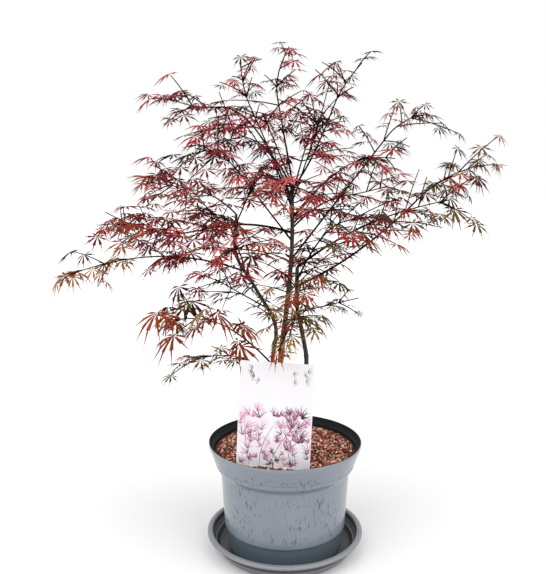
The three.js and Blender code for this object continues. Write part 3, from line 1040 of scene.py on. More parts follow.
@dataclass
class Wood:
    """The stems and boughs, as tubes with the relief of young bark."""

    skeleton: Skeleton
    stem_sides: int = 20
    bough_sides: int = 12
    step: float = 3.0
    joint_spacing: float = 46.0
    joint_height: float = 0.16  # of the radius
    joint_width: float = 2.2
    groove_width: float = 0.9  # of the notch in a joint
    ridge: float = 0.07  # of the radius
    ridge_run: float = 0.035  # how quickly the ridges change along the limb

    def swell(self, run: float) -> float:
        """Gives how much a joint swells the limb, as a share of its radius, at a distance from its middle."""
        notch = 0.4 * math.exp(-((run / self.groove_width) ** 2))
        return self.joint_height * (math.exp(-((run / self.joint_width) ** 2)) - notch)

    def tube(self, branch: Branch, sides: int, seed: float) -> tuple[Array, list]:
        """Makes one limb's tube.

        Args:
            branch: the limb.
            sides: how many sides it has.
            seed: moves its relief, so that no two limbs have the same.

        Returns:
            The tube's points in millimetres, and its faces.
        """
        steps = max(6, int(branch.path.length / self.step))
        side = unit(np.cross(branch.path.heading(0), (0.31, 0.87, 0.12)))
        points = []
        for i in range(steps + 1):
            share = i / steps
            centre, ahead = branch.path.at(share), branch.path.heading(share)
            side = unit(side - ahead * float(side @ ahead))
            other = np.cross(ahead, side)
            run = share * branch.path.length
            joint = (run + 17 * seed) % self.joint_spacing - self.joint_spacing / 2
            swell = self.swell(joint)
            for j in range(sides):
                angle = 2 * math.pi * j / sides
                place = Vector((3 * math.cos(angle), 3 * math.sin(angle), run * self.ridge_run + 9 * seed))
                rough = self.ridge * noise.fractal(place, 1.0, 2.0, 3)
                radius = branch.radius(share) * (1 + rough + swell)
                points.append(centre + radius * (math.cos(angle) * side + math.sin(angle) * other))
        faces = []
        for i in range(steps):
            faces += band(i * sides, (i + 1) * sides, sides)
        faces.append(tuple(reversed(range(sides))))
        faces.append(tuple(steps * sides + j for j in range(sides)))
        return np.array(points), faces

    def joined(self, name: str, branches: Sequence[Branch], sides: int) -> Piece:
        """Makes several limbs as one piece.

        Args:
            name: the piece's name.
            branches: the limbs.
            sides: how many sides each has.

        Returns:
            The piece.
        """
        points, faces = [], []
        for i, branch in enumerate(branches):
            tube, own = self.tube(branch, sides, i + 0.37 * len(name))
            faces += [tuple(len(points) + k for k in face) for face in own]
            points += list(tube)
        cut = self.skeleton.ground
        points = [(p[0], p[1], max(p[2], cut)) for p in points]
        return link(name, mesh_of(name, np.array(points) * MM, faces))

    def build(self, stem_bark: Finish, bough_bark: Finish) -> None:
        """Builds and settles every limb.

        Args:
            stem_bark: the finish of the stems.
            bough_bark: the finish of the boughs.
        """
        for name, stem in self.skeleton.stems.items():
            settle(self.joined("bark_" + name, [stem], self.stem_sides), [name], stem_bark)
        boughs = self.joined("bark_boughs", list(self.skeleton.boughs.values()), self.bough_sides)
        settle(boughs, ["bough_" + name for name in self.skeleton.boughs], bough_bark)


@dataclass(frozen=True)
class LeafForm:
    """A laceleaf: slim toothed lobes that fan from the heel. Sizes are shares of its length."""

    angles: tuple = (-128, -84, -42, 0, 42, 84, 128)
    lengths: tuple = (0.52, 0.8, 0.95, 1.0, 0.95, 0.8, 0.52)
    width: float = 0.06
    droop: float = 0.4
    fold: float = 0.04
    curl: float = 0.09  # how far a lobe's tip swings aside

    def mesh(self, name: str) -> Mesh:
        """Makes the leaf at length 1, with its heel at the origin, pointing along +X and facing +Z.

        Args:
            name: the mesh's name.

        Returns:
            The mesh.
        """
        points, faces = [], []
        for i, (angle, length) in enumerate(zip(self.angles, self.lengths)):
            along = Vector((math.cos(math.radians(angle)), math.sin(math.radians(angle)), 0))
            across = Vector((-along.y, along.x, 0))
            bend = self.curl * math.sin(2.3 * i + 7 * self.droop)

            def spot(run: float, side: float, lift: float = 0.0) -> Vector:
                """Gives a point of the lobe, by shares of its length and its half width."""
                reach = run * length
                shift = side * self.width * (0.4 + 0.6 * length) + bend * run * run * length
                return along * reach + across * shift + Vector((0, 0, lift - self.droop * reach * reach))

            first = len(points)
            points += [spot(0.02, 0), spot(0.5, 0, -self.fold), spot(1.0, 0)]
            for side in (1, -1):
                base = len(points)
                points += [spot(0.26, side * 0.75), spot(0.6, side * 1.45), spot(0.56, side * 0.55)]
                heel, rib, tip = first, first + 1, first + 2
                leaf = [(heel, rib, base), (rib, base + 2, base + 1, base), (rib, tip, base + 2)]
                faces += leaf if side < 0 else [face[::-1] for face in leaf]
        return mesh_of(name, points, [face[::-1] for face in faces], smooth=False)


@dataclass(frozen=True)
class Habit:
    """How a twig's leaves grow: their usual size, their season, and the spray whose room they keep to."""

    leaf: float
    season: Season
    room: str | None = None
    smallest: float = 0.78
    size_spread: float = 0.4

    def size(self, draws: Draws) -> float:
        """Draws the length of one leaf."""
        return self.leaf * self.season.size * (self.smallest + self.size_spread * draws.share())


# Share of each stem's length where its shoots start
STEM_SHOOTS = {"main_stem": 0.52, "left_stem": 0.5, "right_stem": 0.62}
FAR_OFF = 1e6  # a place that no leaf is near


@dataclass
class Foliage:
    """The sprays: twigs that branch in pairs by the source's rule, carried on to leaves on stalks."""

    skeleton: Skeleton
    reach: tuple
    nodes: int = 3
    twig_length: float = 0.9
    twig_taper: float = 0.3
    length_spread: float = 0.2
    fork: float = 54.0
    fork_spread: float = 14.0
    roll_spread: float = 40.0
    margin: float = 2.0
    tilt: float = 17.0
    tilt_spread: float = 20.0
    sway: float = 18.0
    node_gap: float = 17.0
    stalk: float = 10.0
    twig_radii: tuple = (1.2, 0.7)
    stalk_radii: tuple = (0.45, 0.32)
    extend: float = 0.34
    tries: tuple = (1.0, 0.8, 0.62, 0.46)
    shoot_gap: float = 24.0
    shoot_length: float = 68.0
    bare_foot: float = 0.25
    wood_clearance: float = 3.0
    spacing: float = 0.98
    level: float = 0.45  # share of a shoot's rise that it keeps
    long_fingered: float = 46.0  # leaves longer than this have the slimmest form
    own_tint: float = 0.35  # share of the leaves that don't take their twig's tint
    pair_roll: float = 52.0
    pair_fork: float = 58.0
    pair_fork_spread: float = 18.0
    shoot_turn: float = 70.0
    bough_shoots: float = 0.45  # share of a bough's length where its shoots start
    twig_sag: float = 0.05
    twig_arch: float = 0.07
    stalk_arch: float = 0.12
    leaves: list = field(default_factory=list)
    twigs: list = field(default_factory=list)
    stalks: list = field(default_factory=list)

    def grow(self) -> None:
        """Grows every spray, and then the shoots on the limbs between the sprays."""
        self.wood = self.skeleton.wood_points()
        self.middles = np.full((1, 4), FAR_OFF)
        self.sky = [Studio.on_stem_plane(opening) for opening in SKY]
        for name in CROWN:
            self.grow_spray(name)
        for name, leader in self.skeleton.leaders.items():
            self.grow_shoots(name + "_tip", leader, CROWN[name][1].bare)
        for name, bough in self.skeleton.boughs.items():
            self.grow_shoots(name, bough, self.bough_shoots)
        for name, start in STEM_SHOOTS.items():
            self.grow_shoots(name, self.skeleton.stems[name], start)
        LOG.info("foliage: %d leaves on %d twigs", len(self.leaves), len(self.twigs))

    def fits(self, points: Array, room: str | None) -> bool:
        """Tells whether points lie in the crown's box, in the named spray's room, and off the limbs."""
        low, high = self.reach
        if bool((points < low).any()) or bool((points > high).any()):
            return False
        if room:
            others = [space for other, space in self.skeleton.spaces.items() if other != room]
            if not self.skeleton.spaces[room].holds(points, others, self.margin):
                return False
        gaps = np.linalg.norm(points[:, None, :] - self.wood[None, :, :], axis=2)
        return bool(gaps.min() > self.wood_clearance)

    def in_sky(self, point: Array, margin: float) -> bool:
        """Tells whether the camera sees a point in one of the crown's openings, or so near to its edge."""
        eye = np.array(Studio.camera_place) / MM
        seen = eye + (point - eye) * eye[1] / (eye[1] - point[1])
        return any(math.hypot(seen[0] - x, seen[2] - z) < radius + margin for x, z, radius in self.sky)

    def nearest(self, point: Array) -> Habit:
        """Gives the habit of the spray that is nearest to a point, without its room."""
        spaces = self.skeleton.spaces
        name = min(spaces, key=lambda n: float(spaces[n].distance(point[None, :])[0]))
        return Habit(CROWN[name][1].leaf, SEASONS[name])

    def leaf(
        self, node: Array, aim: Array, stalk: float, size: float, habit: Habit, draws: Draws, tint: Tint
    ) -> bool:
        """Grows one leaf on its stalk from a twig, if it fits.

        Args:
            node: the point on the twig.
            aim: the stalk's direction.
            stalk: the stalk's length.
            size: the leaf's length.
            habit: how the leaf grows.
            draws: the random numbers.
            tint: the colour of the twig's leaves.

        Returns:
            True if the leaf was grown.
        """
        heel = node + aim * stalk
        level = unit(np.array((aim[0], aim[1], 0.0)))
        tilt = math.radians(self.tilt + habit.season.hang + draws.wobble(self.tilt_spread))
        ahead = level * math.cos(tilt) - UP * math.sin(tilt)
        facing = UP * math.cos(tilt) + level * math.sin(tilt)
        facing = turned(facing, ahead, math.radians(draws.wobble(self.sway)))
        side = np.cross(facing, ahead)
        form = int(draws.share() * len(LEAF_FORMS))
        if size > self.long_fingered:
            form = len(LEAF_FORMS) - 1
        own = draws.pick(habit.season.tints) if draws.share() < self.own_tint else tint
        middle = heel + 0.4 * size * ahead
        if self.in_sky(middle, 0.15 * size):
            return False
        apart = habit.season.crowding * self.spacing * (size + self.middles[:, 3]) / 2
        if bool((np.linalg.norm(self.middles[:, :3] - middle, axis=1) < apart).any()):
            return False
        rim = [ahead * math.cos(a) + side * math.sin(a) for a in np.radians((-84, -42, 0, 42, 84))]
        if not self.fits(np.array([heel, *(heel + 0.92 * size * r for r in rim)]), habit.room):
            return False
        self.middles = np.vstack((self.middles, (*middle, size)))
        self.leaves.append(Leaf(heel, ahead, facing, size, form, list(Tint).index(own)))
        bend = (node + heel) / 2 + UP * self.stalk_arch * stalk
        self.stalks.append(Branch(Path.arch(node, bend, heel), *self.stalk_radii))
        return True

    def pairs(self, path: Path, shares: Sequence[float], habit: Habit, draws: Draws, tint: Tint) -> int:
        """Grows pairs of stalked leaves along a twig, and one at its tip.

        Args:
            path: the twig's curve.
            shares: where the pairs sit.
            habit: how the leaves grow.
            draws: the random numbers.
            tint: the colour of the twig's leaves.

        Returns:
            How many leaves were grown.
        """
        size = habit.size(draws)
        grown = int(self.leaf(path.at(1), path.heading(1), 0.3 * self.stalk, size, habit, draws, tint))
        for share in shares:
            node, ahead = path.at(share), path.heading(share)
            flat = unit(np.cross(ahead, UP))
            roll = math.radians(draws.wobble(self.pair_roll))
            for side in (1, -1):
                fork = math.radians(self.pair_fork + draws.wobble(self.pair_fork_spread))
                aim = ahead * math.cos(fork) + turned(flat, ahead, roll) * side * math.sin(fork)
                stalk, size = self.stalk * (1 + draws.wobble(0.4)), habit.size(draws)
                if draws.share() < habit.season.missing:
                    continue
                for attempt in self.tries[:3]:
                    if self.leaf(node, aim, stalk * attempt, size * attempt**0.5, habit, draws, tint):
                        grown += 1
                        break
        return grown

    def grow_spray(self, name: str) -> None:
        """Grows one spray, with the source's draws for its twigs and draws of its own for the leaves.

        Args:
            name: the spray.
        """
        spray, season = CROWN[name][1], SEASONS[name]
        leader, habit = self.skeleton.leaders[name], Habit(spray.leaf, season, name)
        draws, finer = Draws(name), Draws(name + "_leaves")
        self.twigs.append(leader)
        for node in range(self.nodes):
            share = spray.bare + (1 - spray.bare) * (node + 0.35) / self.nodes
            base, tangent = leader.path.at(share), leader.path.heading(share)
            flat = unit(np.cross(tangent, UP))
            roll = math.radians(90 * node + draws.wobble(self.roll_spread))
            shrink = 1 - self.twig_taper * (node / self.nodes)
            for side in (1, -1):
                fork = math.radians(self.fork + draws.wobble(self.fork_spread))
                aim = tangent * math.cos(fork) + turned(flat, tangent, roll) * side * math.sin(fork)
                length = self.twig_length * spray.width * shrink * (1 + draws.wobble(self.length_spread))
                draws.skip(2)  # the source draws its leaf's tilt and size here
                self.twig(base, aim, length + self.extend * spray.leaf, habit, finer)
        count = int((1 - spray.bare) * leader.path.length / self.node_gap)
        shares = [spray.bare + (1 - spray.bare) * (i + 0.5) / count for i in range(count)]
        self.pairs(leader.path, shares, habit, finer, finer.pick(season.tints))

    def grow_shoots(self, name: str, limb: Branch, start: float) -> None:
        """Grows pairs of leafy shoots along a limb.

        Args:
            name: the limb's name.
            limb: the limb.
            start: the share of its length where the first ones grow.
        """
        draws = Draws(name + "_shoots")
        count = int((1 - start) * limb.path.length / self.shoot_gap)
        for i in range(count):
            share = start + (1 - start) * (i + 0.5) / count
            base, tangent = limb.path.at(share), limb.path.heading(share)
            flat = unit(np.cross(tangent, UP))
            roll = math.radians(self.shoot_turn * i + draws.wobble(self.roll_spread))
            for side in (1, -1):
                fork = math.radians(self.fork + draws.wobble(self.fork_spread))
                aim = tangent * math.cos(fork) + turned(flat, tangent, roll) * side * math.sin(fork)
                aim = unit(aim * (1, 1, self.level))
                length = self.shoot_length * (1 + draws.wobble(0.4))
                self.twig(base, aim, length, self.nearest(base + length * aim), draws)

    def twig(self, base: Array, aim: Array, length: float, habit: Habit, draws: Draws) -> None:
        """Grows one leafy twig, shorter where the room is short.

        Args:
            base: its foot.
            aim: its direction.
            length: its length.
            habit: how its leaves grow.
            draws: the random numbers.
        """
        tint = draws.pick(habit.season.tints)
        for attempt in self.tries:
            end = base + aim * length * attempt - UP * self.twig_sag * length * attempt
            middle = (base + end) / 2 + UP * self.twig_arch * length * attempt
            path = Path.arch(base, middle, end)
            bare = sum(self.in_sky(path.at(share), 0) for share in (0.4, 0.6, 0.8, 1))
            if bare > 1 or not self.fits(np.array([path.at(1), path.at(0.6)]), habit.room):
                continue
            count = max(1, round(path.length / self.node_gap))
            shares = [self.bare_foot + (1 - self.bare_foot) * (i + 0.5) / count for i in range(count)]
            first = len(self.leaves)
            if self.pairs(path, [s for s in shares if s < 0.9], habit, draws, tint) > 1:
                self.twigs.append(Branch(path, *self.twig_radii))
                return
            del self.leaves[first:], self.stalks[first:]
            self.middles = self.middles[: first + 1]

    def tubes(self, name: str, branches: Sequence[Branch], steps: int, sides: int, finish: Finish) -> Piece:
        """Makes thin limbs as tubes along their curves, by Geometry Nodes.

        Args:
            name: the piece's name.
            branches: the limbs.
            steps: how many stretches each has.
            sides: how many sides each tube has.
            finish: the piece's finish.

        Returns:
            The piece.
        """
        shares = np.linspace(0, 1, steps + 1)
        points = np.array([b.path.at(s) for b in branches for s in shares]) * MM
        radii = np.array([b.radius(s) for b in branches for s in shares]) * MM
        firsts = [i * (steps + 1) for i in range(len(branches))]
        edges = [(first + j, first + j + 1) for first in firsts for j in range(steps)]
        mesh = bpy.data.meshes.new(name + "_lines")
        mesh.from_pydata(points.tolist(), edges, [])
        mesh.attributes.new("thickness", "FLOAT", "POINT").data.foreach_set("value", radii)
        grower = Grower(name + "_tubes", {"Sides": "count"})
        put = grower.sketch.put
        curve = put("GeometryNodeMeshToCurve", {"Mesh": grower.start["Geometry"]}).outputs[0]
        ring = put("GeometryNodeCurvePrimitiveCircle", {"Resolution": grower.start["Sides"], "Radius": 1.0})
        inputs = {
            "Curve": curve,
            "Profile Curve": ring.outputs[0],
            "Scale": grower.attribute("thickness"),
            "Fill Caps": True,
        }
        tube = put("GeometryNodeCurveToMesh", inputs).outputs[0]
        smooth = put("GeometryNodeSetShadeSmooth", {"Geometry": tube}).outputs[0]
        grower.finish(smooth, [finish])
        return grower.grow(name, link(name + "_lines", mesh), Sides=sides)

    def blades(self, name: str, finishes: Sequence[Finish]) -> Piece:
        """Makes all the leaves, by Geometry Nodes.

        Args:
            name: the piece's name.
            finishes: one finish for each tint.

        Returns:
            The piece.
        """
        forms = bpy.data.collections.new("leaf_forms")
        for i, form in enumerate(LEAF_FORMS):
            shape = f"leaf_form_{i}"
            forms.objects.link(bpy.data.objects.new(shape, form.mesh(shape)))
        mesh = bpy.data.meshes.new(name + "_points")
        mesh.from_pydata([tuple(leaf.heel * MM) for leaf in self.leaves], [], [])
        turns = []
        for leaf in self.leaves:
            side = np.cross(leaf.facing, leaf.ahead)
            turns += list(Matrix(np.column_stack((leaf.ahead, side, leaf.facing)).tolist()).to_euler("XYZ"))
        mesh.attributes.new("turn", "FLOAT_VECTOR", "POINT").data.foreach_set("vector", turns)
        sizes = [leaf.size * MM for leaf in self.leaves]
        mesh.attributes.new("size", "FLOAT", "POINT").data.foreach_set("value", sizes)
        for kind in ("form", "tint"):
            numbers = [getattr(leaf, kind) for leaf in self.leaves]
            mesh.attributes.new(kind, "INT", "POINT").data.foreach_set("value", numbers)
        grower = Grower(name + "_scatter", {"Forms": "collection"})
        form, size = grower.attribute("form", "INT"), grower.attribute("size")
        turn = grower.attribute("turn", "FLOAT_VECTOR")
        grower.finish(grower.place_forms(grower.start["Geometry"], form, turn, size), finishes, "tint")
        return grower.grow(name, link(name + "_points", mesh), Forms=forms)

    def build(self, finishes: Sequence[Finish], shoot: Finish, stalk: Finish) -> None:
        """Builds and settles the twigs, stalks and leaves.

        Args:
            finishes: the leaves' finishes, one for each tint.
            shoot: the twigs' finish.
            stalk: the leaf stalks' finish.
        """
        masses = ["leaves_" + name for name in CROWN]
        settle(self.tubes("twigs", self.twigs, 6, 6, shoot), masses)
        settle(self.tubes("leaf_stalks", self.stalks, 2, 3, stalk), masses)
        settle(self.blades("leaves", finishes), masses)


LEAF_FORMS = (
    LeafForm(),
    LeafForm((-132, -92, -50, -6, 36, 78, 122), (0.5, 0.74, 0.97, 1.0, 0.9, 0.82, 0.48), 0.056, 0.34),
    LeafForm((-118, -74, -34, 5, 46, 90, 134), (0.55, 0.84, 0.92, 1.0, 0.93, 0.7, 0.5), 0.062, 0.26),
    LeafForm((-100, -62, -28, 0, 30, 66, 104), (0.5, 0.78, 0.93, 1.0, 0.96, 0.82, 0.56), 0.052, 0.42),
)


# Pot, saucer, ground and card


@dataclass
class Saucer:
    """The saucer: a turned tray with a rolled rim and a stepped wall."""

    turns: int = 144
    wall: float = 0.0024
    rim_width: float = 0.010
    rim_depth: float = 0.006
    ledge_height: float = 0.012
    ledge_width: float = 0.004
    slope: float = 0.854  # share of the rim's radius that the base has

    def build(self, finish: Finish, painted_shade_finish: Finish) -> None:
        """Builds and settles the saucer.

        Args:
            finish: its plastic.
            painted_shade_finish: the darker finish inside its rim, the painted shadow that the pot casts.
        """
        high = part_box("saucer")[1]
        rim, top = high.x, high.z
        base, inner = self.slope * rim, rim - self.rim_width
        wall, ledge, fine = self.wall, self.ledge_height, 0.0008
        corners = [
            (0, 0, 0),
            (base - 0.006, 0, 0),
            (base - 0.005, 0.0008, fine),
            (base - 0.001, 0.0008, fine),
            (base + 0.001, 0.0022, 0.002),
            (inner - 0.0015, top - self.rim_depth - 0.004, 0.002),
            (inner + 0.001, top - self.rim_depth, 0.001),
            (rim - 0.0012, top - self.rim_depth, 0.0012),
            (rim, top - self.rim_depth + 0.0015, 0.0015),
            (rim, top - 0.0025, 0.002),
            (rim - 0.003, top, 0.003),
            (inner + 0.0015, top, 0.0018),
            (inner - 0.0005, top - 0.0025, 0.0015),
            (inner - wall, ledge + 0.0015, 0.001),
            (inner - wall - self.ledge_width, ledge + 0.0004, fine),
            (base - wall + 0.001, wall + 0.0014, 0.0015),
            (base - wall - 0.003, wall, 0.001),
            (0, wall, 0),
        ]
        shell = lathe("saucer_shell", rounded(corners), self.turns)
        for part in (finish, painted_shade_finish):
            shell.materials.append(part.material())
        # Faces inside the rim take the painted shadow of the pot. The ledge's ridge is left out of it and
        # keeps the lighter plastic, a painted highlight line.
        for face in shell.polygons:
            radius = math.hypot(face.center.x, face.center.y)
            inside = radius < inner - 0.0002 and face.center.z > wall / 2 and face.normal.z > -0.3
            ridge = ledge - 0.0004 < face.center.z < ledge + 0.0016
            face.material_index = int(inside and not ridge and face.center.z < top - 0.003)
        settle(link("saucer_shell", shell), ["saucer"])


@dataclass
class Pot:
    """The nursery pot: a turned shell with a recessed foot, a stacking collar and a flared lip."""

    turns: int = 160
    wall: float = 0.002
    foot_share: float = 0.75
    body_share: float = 0.7978
    body_top_share: float = 0.8456
    collar_share: float = 0.9118
    crease_share: float = 0.9228
    foot_height: float = 0.0385
    body_top_height: float = 0.142
    collar_height: float = 0.1525
    collar_inside: float = 0.1555
    crease_height: float = 0.1585
    lip_height: float = 0.011
    lip_width: float = 0.0065
    inner_rounding: float = 0.002

    def inner_wall(self) -> list[tuple[float, float]]:
        """Gives the inner wall below the crease, as radii and heights from the collar to the floor."""
        low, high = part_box("pot")
        lip, floor, wall = high.x, low.z, self.wall
        return [
            (self.collar_share * lip - wall, floor + self.collar_inside),
            (self.body_top_share * lip - wall, floor + self.body_top_height + 0.003),
            (self.foot_share * lip - wall, floor + wall),
        ]

    def build(self, finish: Finish, painted_shade_finish: Finish) -> None:
        """Builds and settles the pot.

        Args:
            finish: its plastic.
            painted_shade_finish: the darker finish of its inner wall and of the upward faces inside its lip,
                painted shade.
        """
        low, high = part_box("pot")
        lip, top, floor = high.x, high.z, low.z
        foot, body, body_top = self.foot_share * lip, self.body_share * lip, self.body_top_share * lip
        collar, crease, wall = self.collar_share * lip, self.crease_share * lip, self.wall
        step, fold = floor + self.foot_height, floor + self.crease_height
        outside = [
            (0, floor, 0),
            (foot - 0.002, floor, 0.002),
            (foot, floor + 0.003, 0.002),
            (foot + 0.0035, step, 0.001),
            (body - 0.0008, step + 0.0007, 0.0006),
            (body + 0.0002, step + 0.0025, 0.0012),
            (body_top, floor + self.body_top_height, 0.004),
            (collar - 0.0006, floor + self.collar_height, 0.003),
            (collar + 0.0003, floor + self.collar_height + 0.003, 0.001),
            (crease - 0.0001, fold, 0.0004),
            (crease - 0.0006, fold + 0.0011, 0.0004),
            (crease + 0.0006, fold + 0.0025, 0.001),
            (lip - 0.0012, top - 0.0085, 0.004),
            (lip, top - 0.006, 0.001),
            (lip, top, 0.0012),
        ]
        ledge = lip - self.lip_width
        inside = [
            (lip - wall, top, 0.0009),
            (lip - 0.0033, top - 0.005, 0.002),
            (ledge, top - self.lip_height, 0.0012),
            (ledge - wall, top - self.lip_height - 0.0012, 0.0006),
            (crease - wall, fold + 0.001, self.inner_rounding),
            *((radius, height, self.inner_rounding) for radius, height in self.inner_wall()),
            (0, floor + wall, 0),
        ]
        shell = lathe("pot_shell", rounded(outside + inside), self.turns)
        for part in (finish, painted_shade_finish):
            shell.materials.append(part.material())
        # Faces inside the lip and on the inner wall take the painted shade: the pot's own plastic, darkened
        # as the shade inside the pot.
        for face in shell.polygons:
            radial = Vector((face.center.x, face.center.y, 0))
            shaded_brim = face.normal.z > 0.5 and radial.length < lip - 0.0006
            face.material_index = int(shaded_brim or face.normal.dot(radial.normalized()) < -0.3)
        settle(link("pot_shell", shell), ["pot"])


class Ink(IntEnum):
    """The inks of the card's print. The tufts draw one of the first three."""

    MAUVE = 0
    PINK = 1
    PLUM = 2
    GREY = 3


BLADE_FACES = 4  # up the length of a printed blade


@dataclass
class Card:
    """The plant card: a thin coated card that leans in the soil, with a generic print of tufts and sprigs."""

    width: float = 0.122
    height: float = 0.178
    thickness: float = 0.0008
    corner: float = 0.003
    tongue_width: float = 0.034
    tongue_depth: float = 0.032
    slit_width: float = 0.0024
    slit_height: float = 0.011
    x: float = -0.022
    y: float = -0.1
    lean: float = 2.0
    roll: float = 2.3
    turn: float = -6.0
    margin: float = 0.003
    tufts: int = 90
    tuft_top: float = 0.52  # share of the card's height where the highest tufts start
    tuft_fan: float = 1.9  # angle between a tuft's outer blades
    sprigs: int = 5  # on each side
    sprig_blades: int = 6
    stalks: int = 5
    stalk_share: float = 0.5  # of the card's height
    print_lift: float = 0.00006  # of the print over the card

    def place(self) -> Matrix:
        """Gives where the card stands: its foot's middle on the soil, leaning back and rolled."""
        roll = math.radians(self.roll)
        lift = self.width / 2 * math.sin(roll)
        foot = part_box("soil")[1].z + lift + 0.0003
        turned_card = Matrix.Rotation(math.radians(self.turn), 4, "Z")
        leaned = Matrix.Rotation(math.radians(-self.lean), 4, "X")
        rolled = Matrix.Rotation(roll, 4, "Y")
        return Matrix.Translation((self.x, self.y, foot)) @ turned_card @ leaned @ rolled

    def outline(self) -> list[tuple[float, float]]:
        """Gives the card's outline, with rounded upper corners and a tongue that a slit parts."""
        half, round_off, arc = self.width / 2, self.corner, []
        for side, first in ((1, 0), (-1, 90)):
            centre = (side * (half - round_off), self.height - round_off)
            for i in range(7):
                angle = math.radians(first + 15 * i)
                arc.append((centre[0] + round_off * math.cos(angle), centre[1] + round_off * math.sin(angle)))
        tongue, slit, deep = self.tongue_width / 2, self.slit_width / 2, -self.tongue_depth
        foot = [(-half, 0), (-tongue, 0), (-tongue, deep), (-slit, deep), (-slit, self.slit_height)]
        foot += [(slit, self.slit_height), (slit, deep), (tongue, deep), (tongue, 0)]
        return [*foot, (half, 0), *arc]

    def plate(self) -> Mesh:
        """Makes the card's own plate, upright over the origin."""
        outline = self.outline()
        count, half = len(outline), self.thickness / 2
        points = [(x, side * half, z) for side in (-1, 1) for x, z in outline]
        faces = [tuple(range(count)), tuple(reversed(range(count, 2 * count)))]
        faces += [((i + 1) % count, i, count + i, count + (i + 1) % count) for i in range(count)]
        mesh = mesh_of("card_plate", points, faces, smooth=False)
        shape = bmesh.new()
        shape.from_mesh(mesh)
        bmesh.ops.recalc_face_normals(shape, faces=shape.faces)
        bmesh.ops.triangulate(shape, faces=shape.faces)
        shape.to_mesh(mesh)
        shape.free()
        return mesh

    def blade(self, place: tuple, length: float, lean: float, bow: float, wide: float) -> list[tuple]:
        """Gives the outline of one printed blade, as five pairs of points up its length.

        Args:
            place: its foot on the card.
            length: its length.
            lean: its angle at the foot, from upright.
            bow: how much that grows towards the tip.
            wide: half its greatest width.

        Returns:
            The points, kept on the card.
        """
        limit, front, points = self.width / 2 - self.margin / 2, -(self.thickness / 2 + self.print_lift), []
        for i in range(BLADE_FACES + 1):
            t = i / BLADE_FACES
            angle = lean + bow * t
            x, z = place[0] + length * t * math.sin(angle), place[1] + length * t * math.cos(angle)
            half = wide * math.sin(math.pi * min(1.0, 0.15 + 0.85 * t)) + 0.00005
            for side in (-1, 1):
                spot, level = x + side * half * math.cos(angle), z - side * half * math.sin(angle)
                points.append((max(-limit, min(limit, spot)), front, max(self.margin, level)))
        return points

    def meadow(self) -> tuple[list, list, list]:
        """Draws the print: long stalks, tufts of slim blades that fan from a point, and sprigs above.

        Returns:
            Points, faces and each face's ink.
        """
        draws, points, inks = Draws("meadow"), [], []
        reach = self.width / 2 - self.margin
        for i in range(self.stalks):
            place = (reach * (2 * (i + draws.share()) / self.stalks - 1), self.margin)
            length = self.height * self.stalk_share
            points += self.blade(place, length, draws.wobble(0.35), draws.wobble(0.5), 0.0004)
            inks += [Ink.PLUM] * BLADE_FACES
        for _ in range(self.tufts):
            place = (draws.wobble(reach), self.margin + draws.share() * self.height * self.tuft_top)
            lean, ink, size = draws.wobble(1.2), int(draws.share() * 3), 0.009 + 0.012 * draws.share()
            count = 5 + int(4 * draws.share())
            for i in range(count):
                aside = i / (count - 1) - 0.5
                length = size * (1 - 0.25 * abs(2 * aside)) * (1 + draws.wobble(0.15))
                bow = draws.wobble(0.4)
                wide = 0.00025 + 0.0003 * draws.share()
                points += self.blade(place, length, lean + self.tuft_fan * aside, bow, wide)
                inks += [ink] * BLADE_FACES
        for i in range(2 * self.sprigs):
            side = 1 if i % 2 else -1
            across = side * reach * (0.42 + 0.5 * draws.share())
            place = (across, self.height * (0.82 + 0.12 * draws.share()))
            for j in range(self.sprig_blades):
                turn = side * 1.4 + 0.45 * (j - (self.sprig_blades - 1) / 2)
                points += self.blade(place, 0.006 + 0.005 * draws.share(), turn, draws.wobble(0.3), 0.0003)
                inks += [Ink.GREY] * BLADE_FACES
        faces = []
        for first in range(0, len(points), 2 * BLADE_FACES + 2):
            pairs = range(first, first + 2 * BLADE_FACES, 2)
            faces += [(a, a + 1, a + 3, a + 2) for a in pairs]
        return points, faces, inks

    def build(self, paper: Finish, inks: Sequence[Finish]) -> None:
        """Builds and settles the card and its print.

        Args:
            paper: the card's finish.
            inks: the finishes of the print.
        """
        plate = self.plate()
        plate.transform(self.place())
        settle(link("card_plate", plate), ["plant_card"], paper)
        points, faces, chosen = self.meadow()
        mesh = mesh_of("card_print", points, faces, smooth=False)
        for ink in inks:
            mesh.materials.append(ink.material())
        mesh.polygons.foreach_set("material_index", chosen)
        mesh.transform(self.place())
        settle(link("card_print", mesh))


FULL_TURN = 6.283


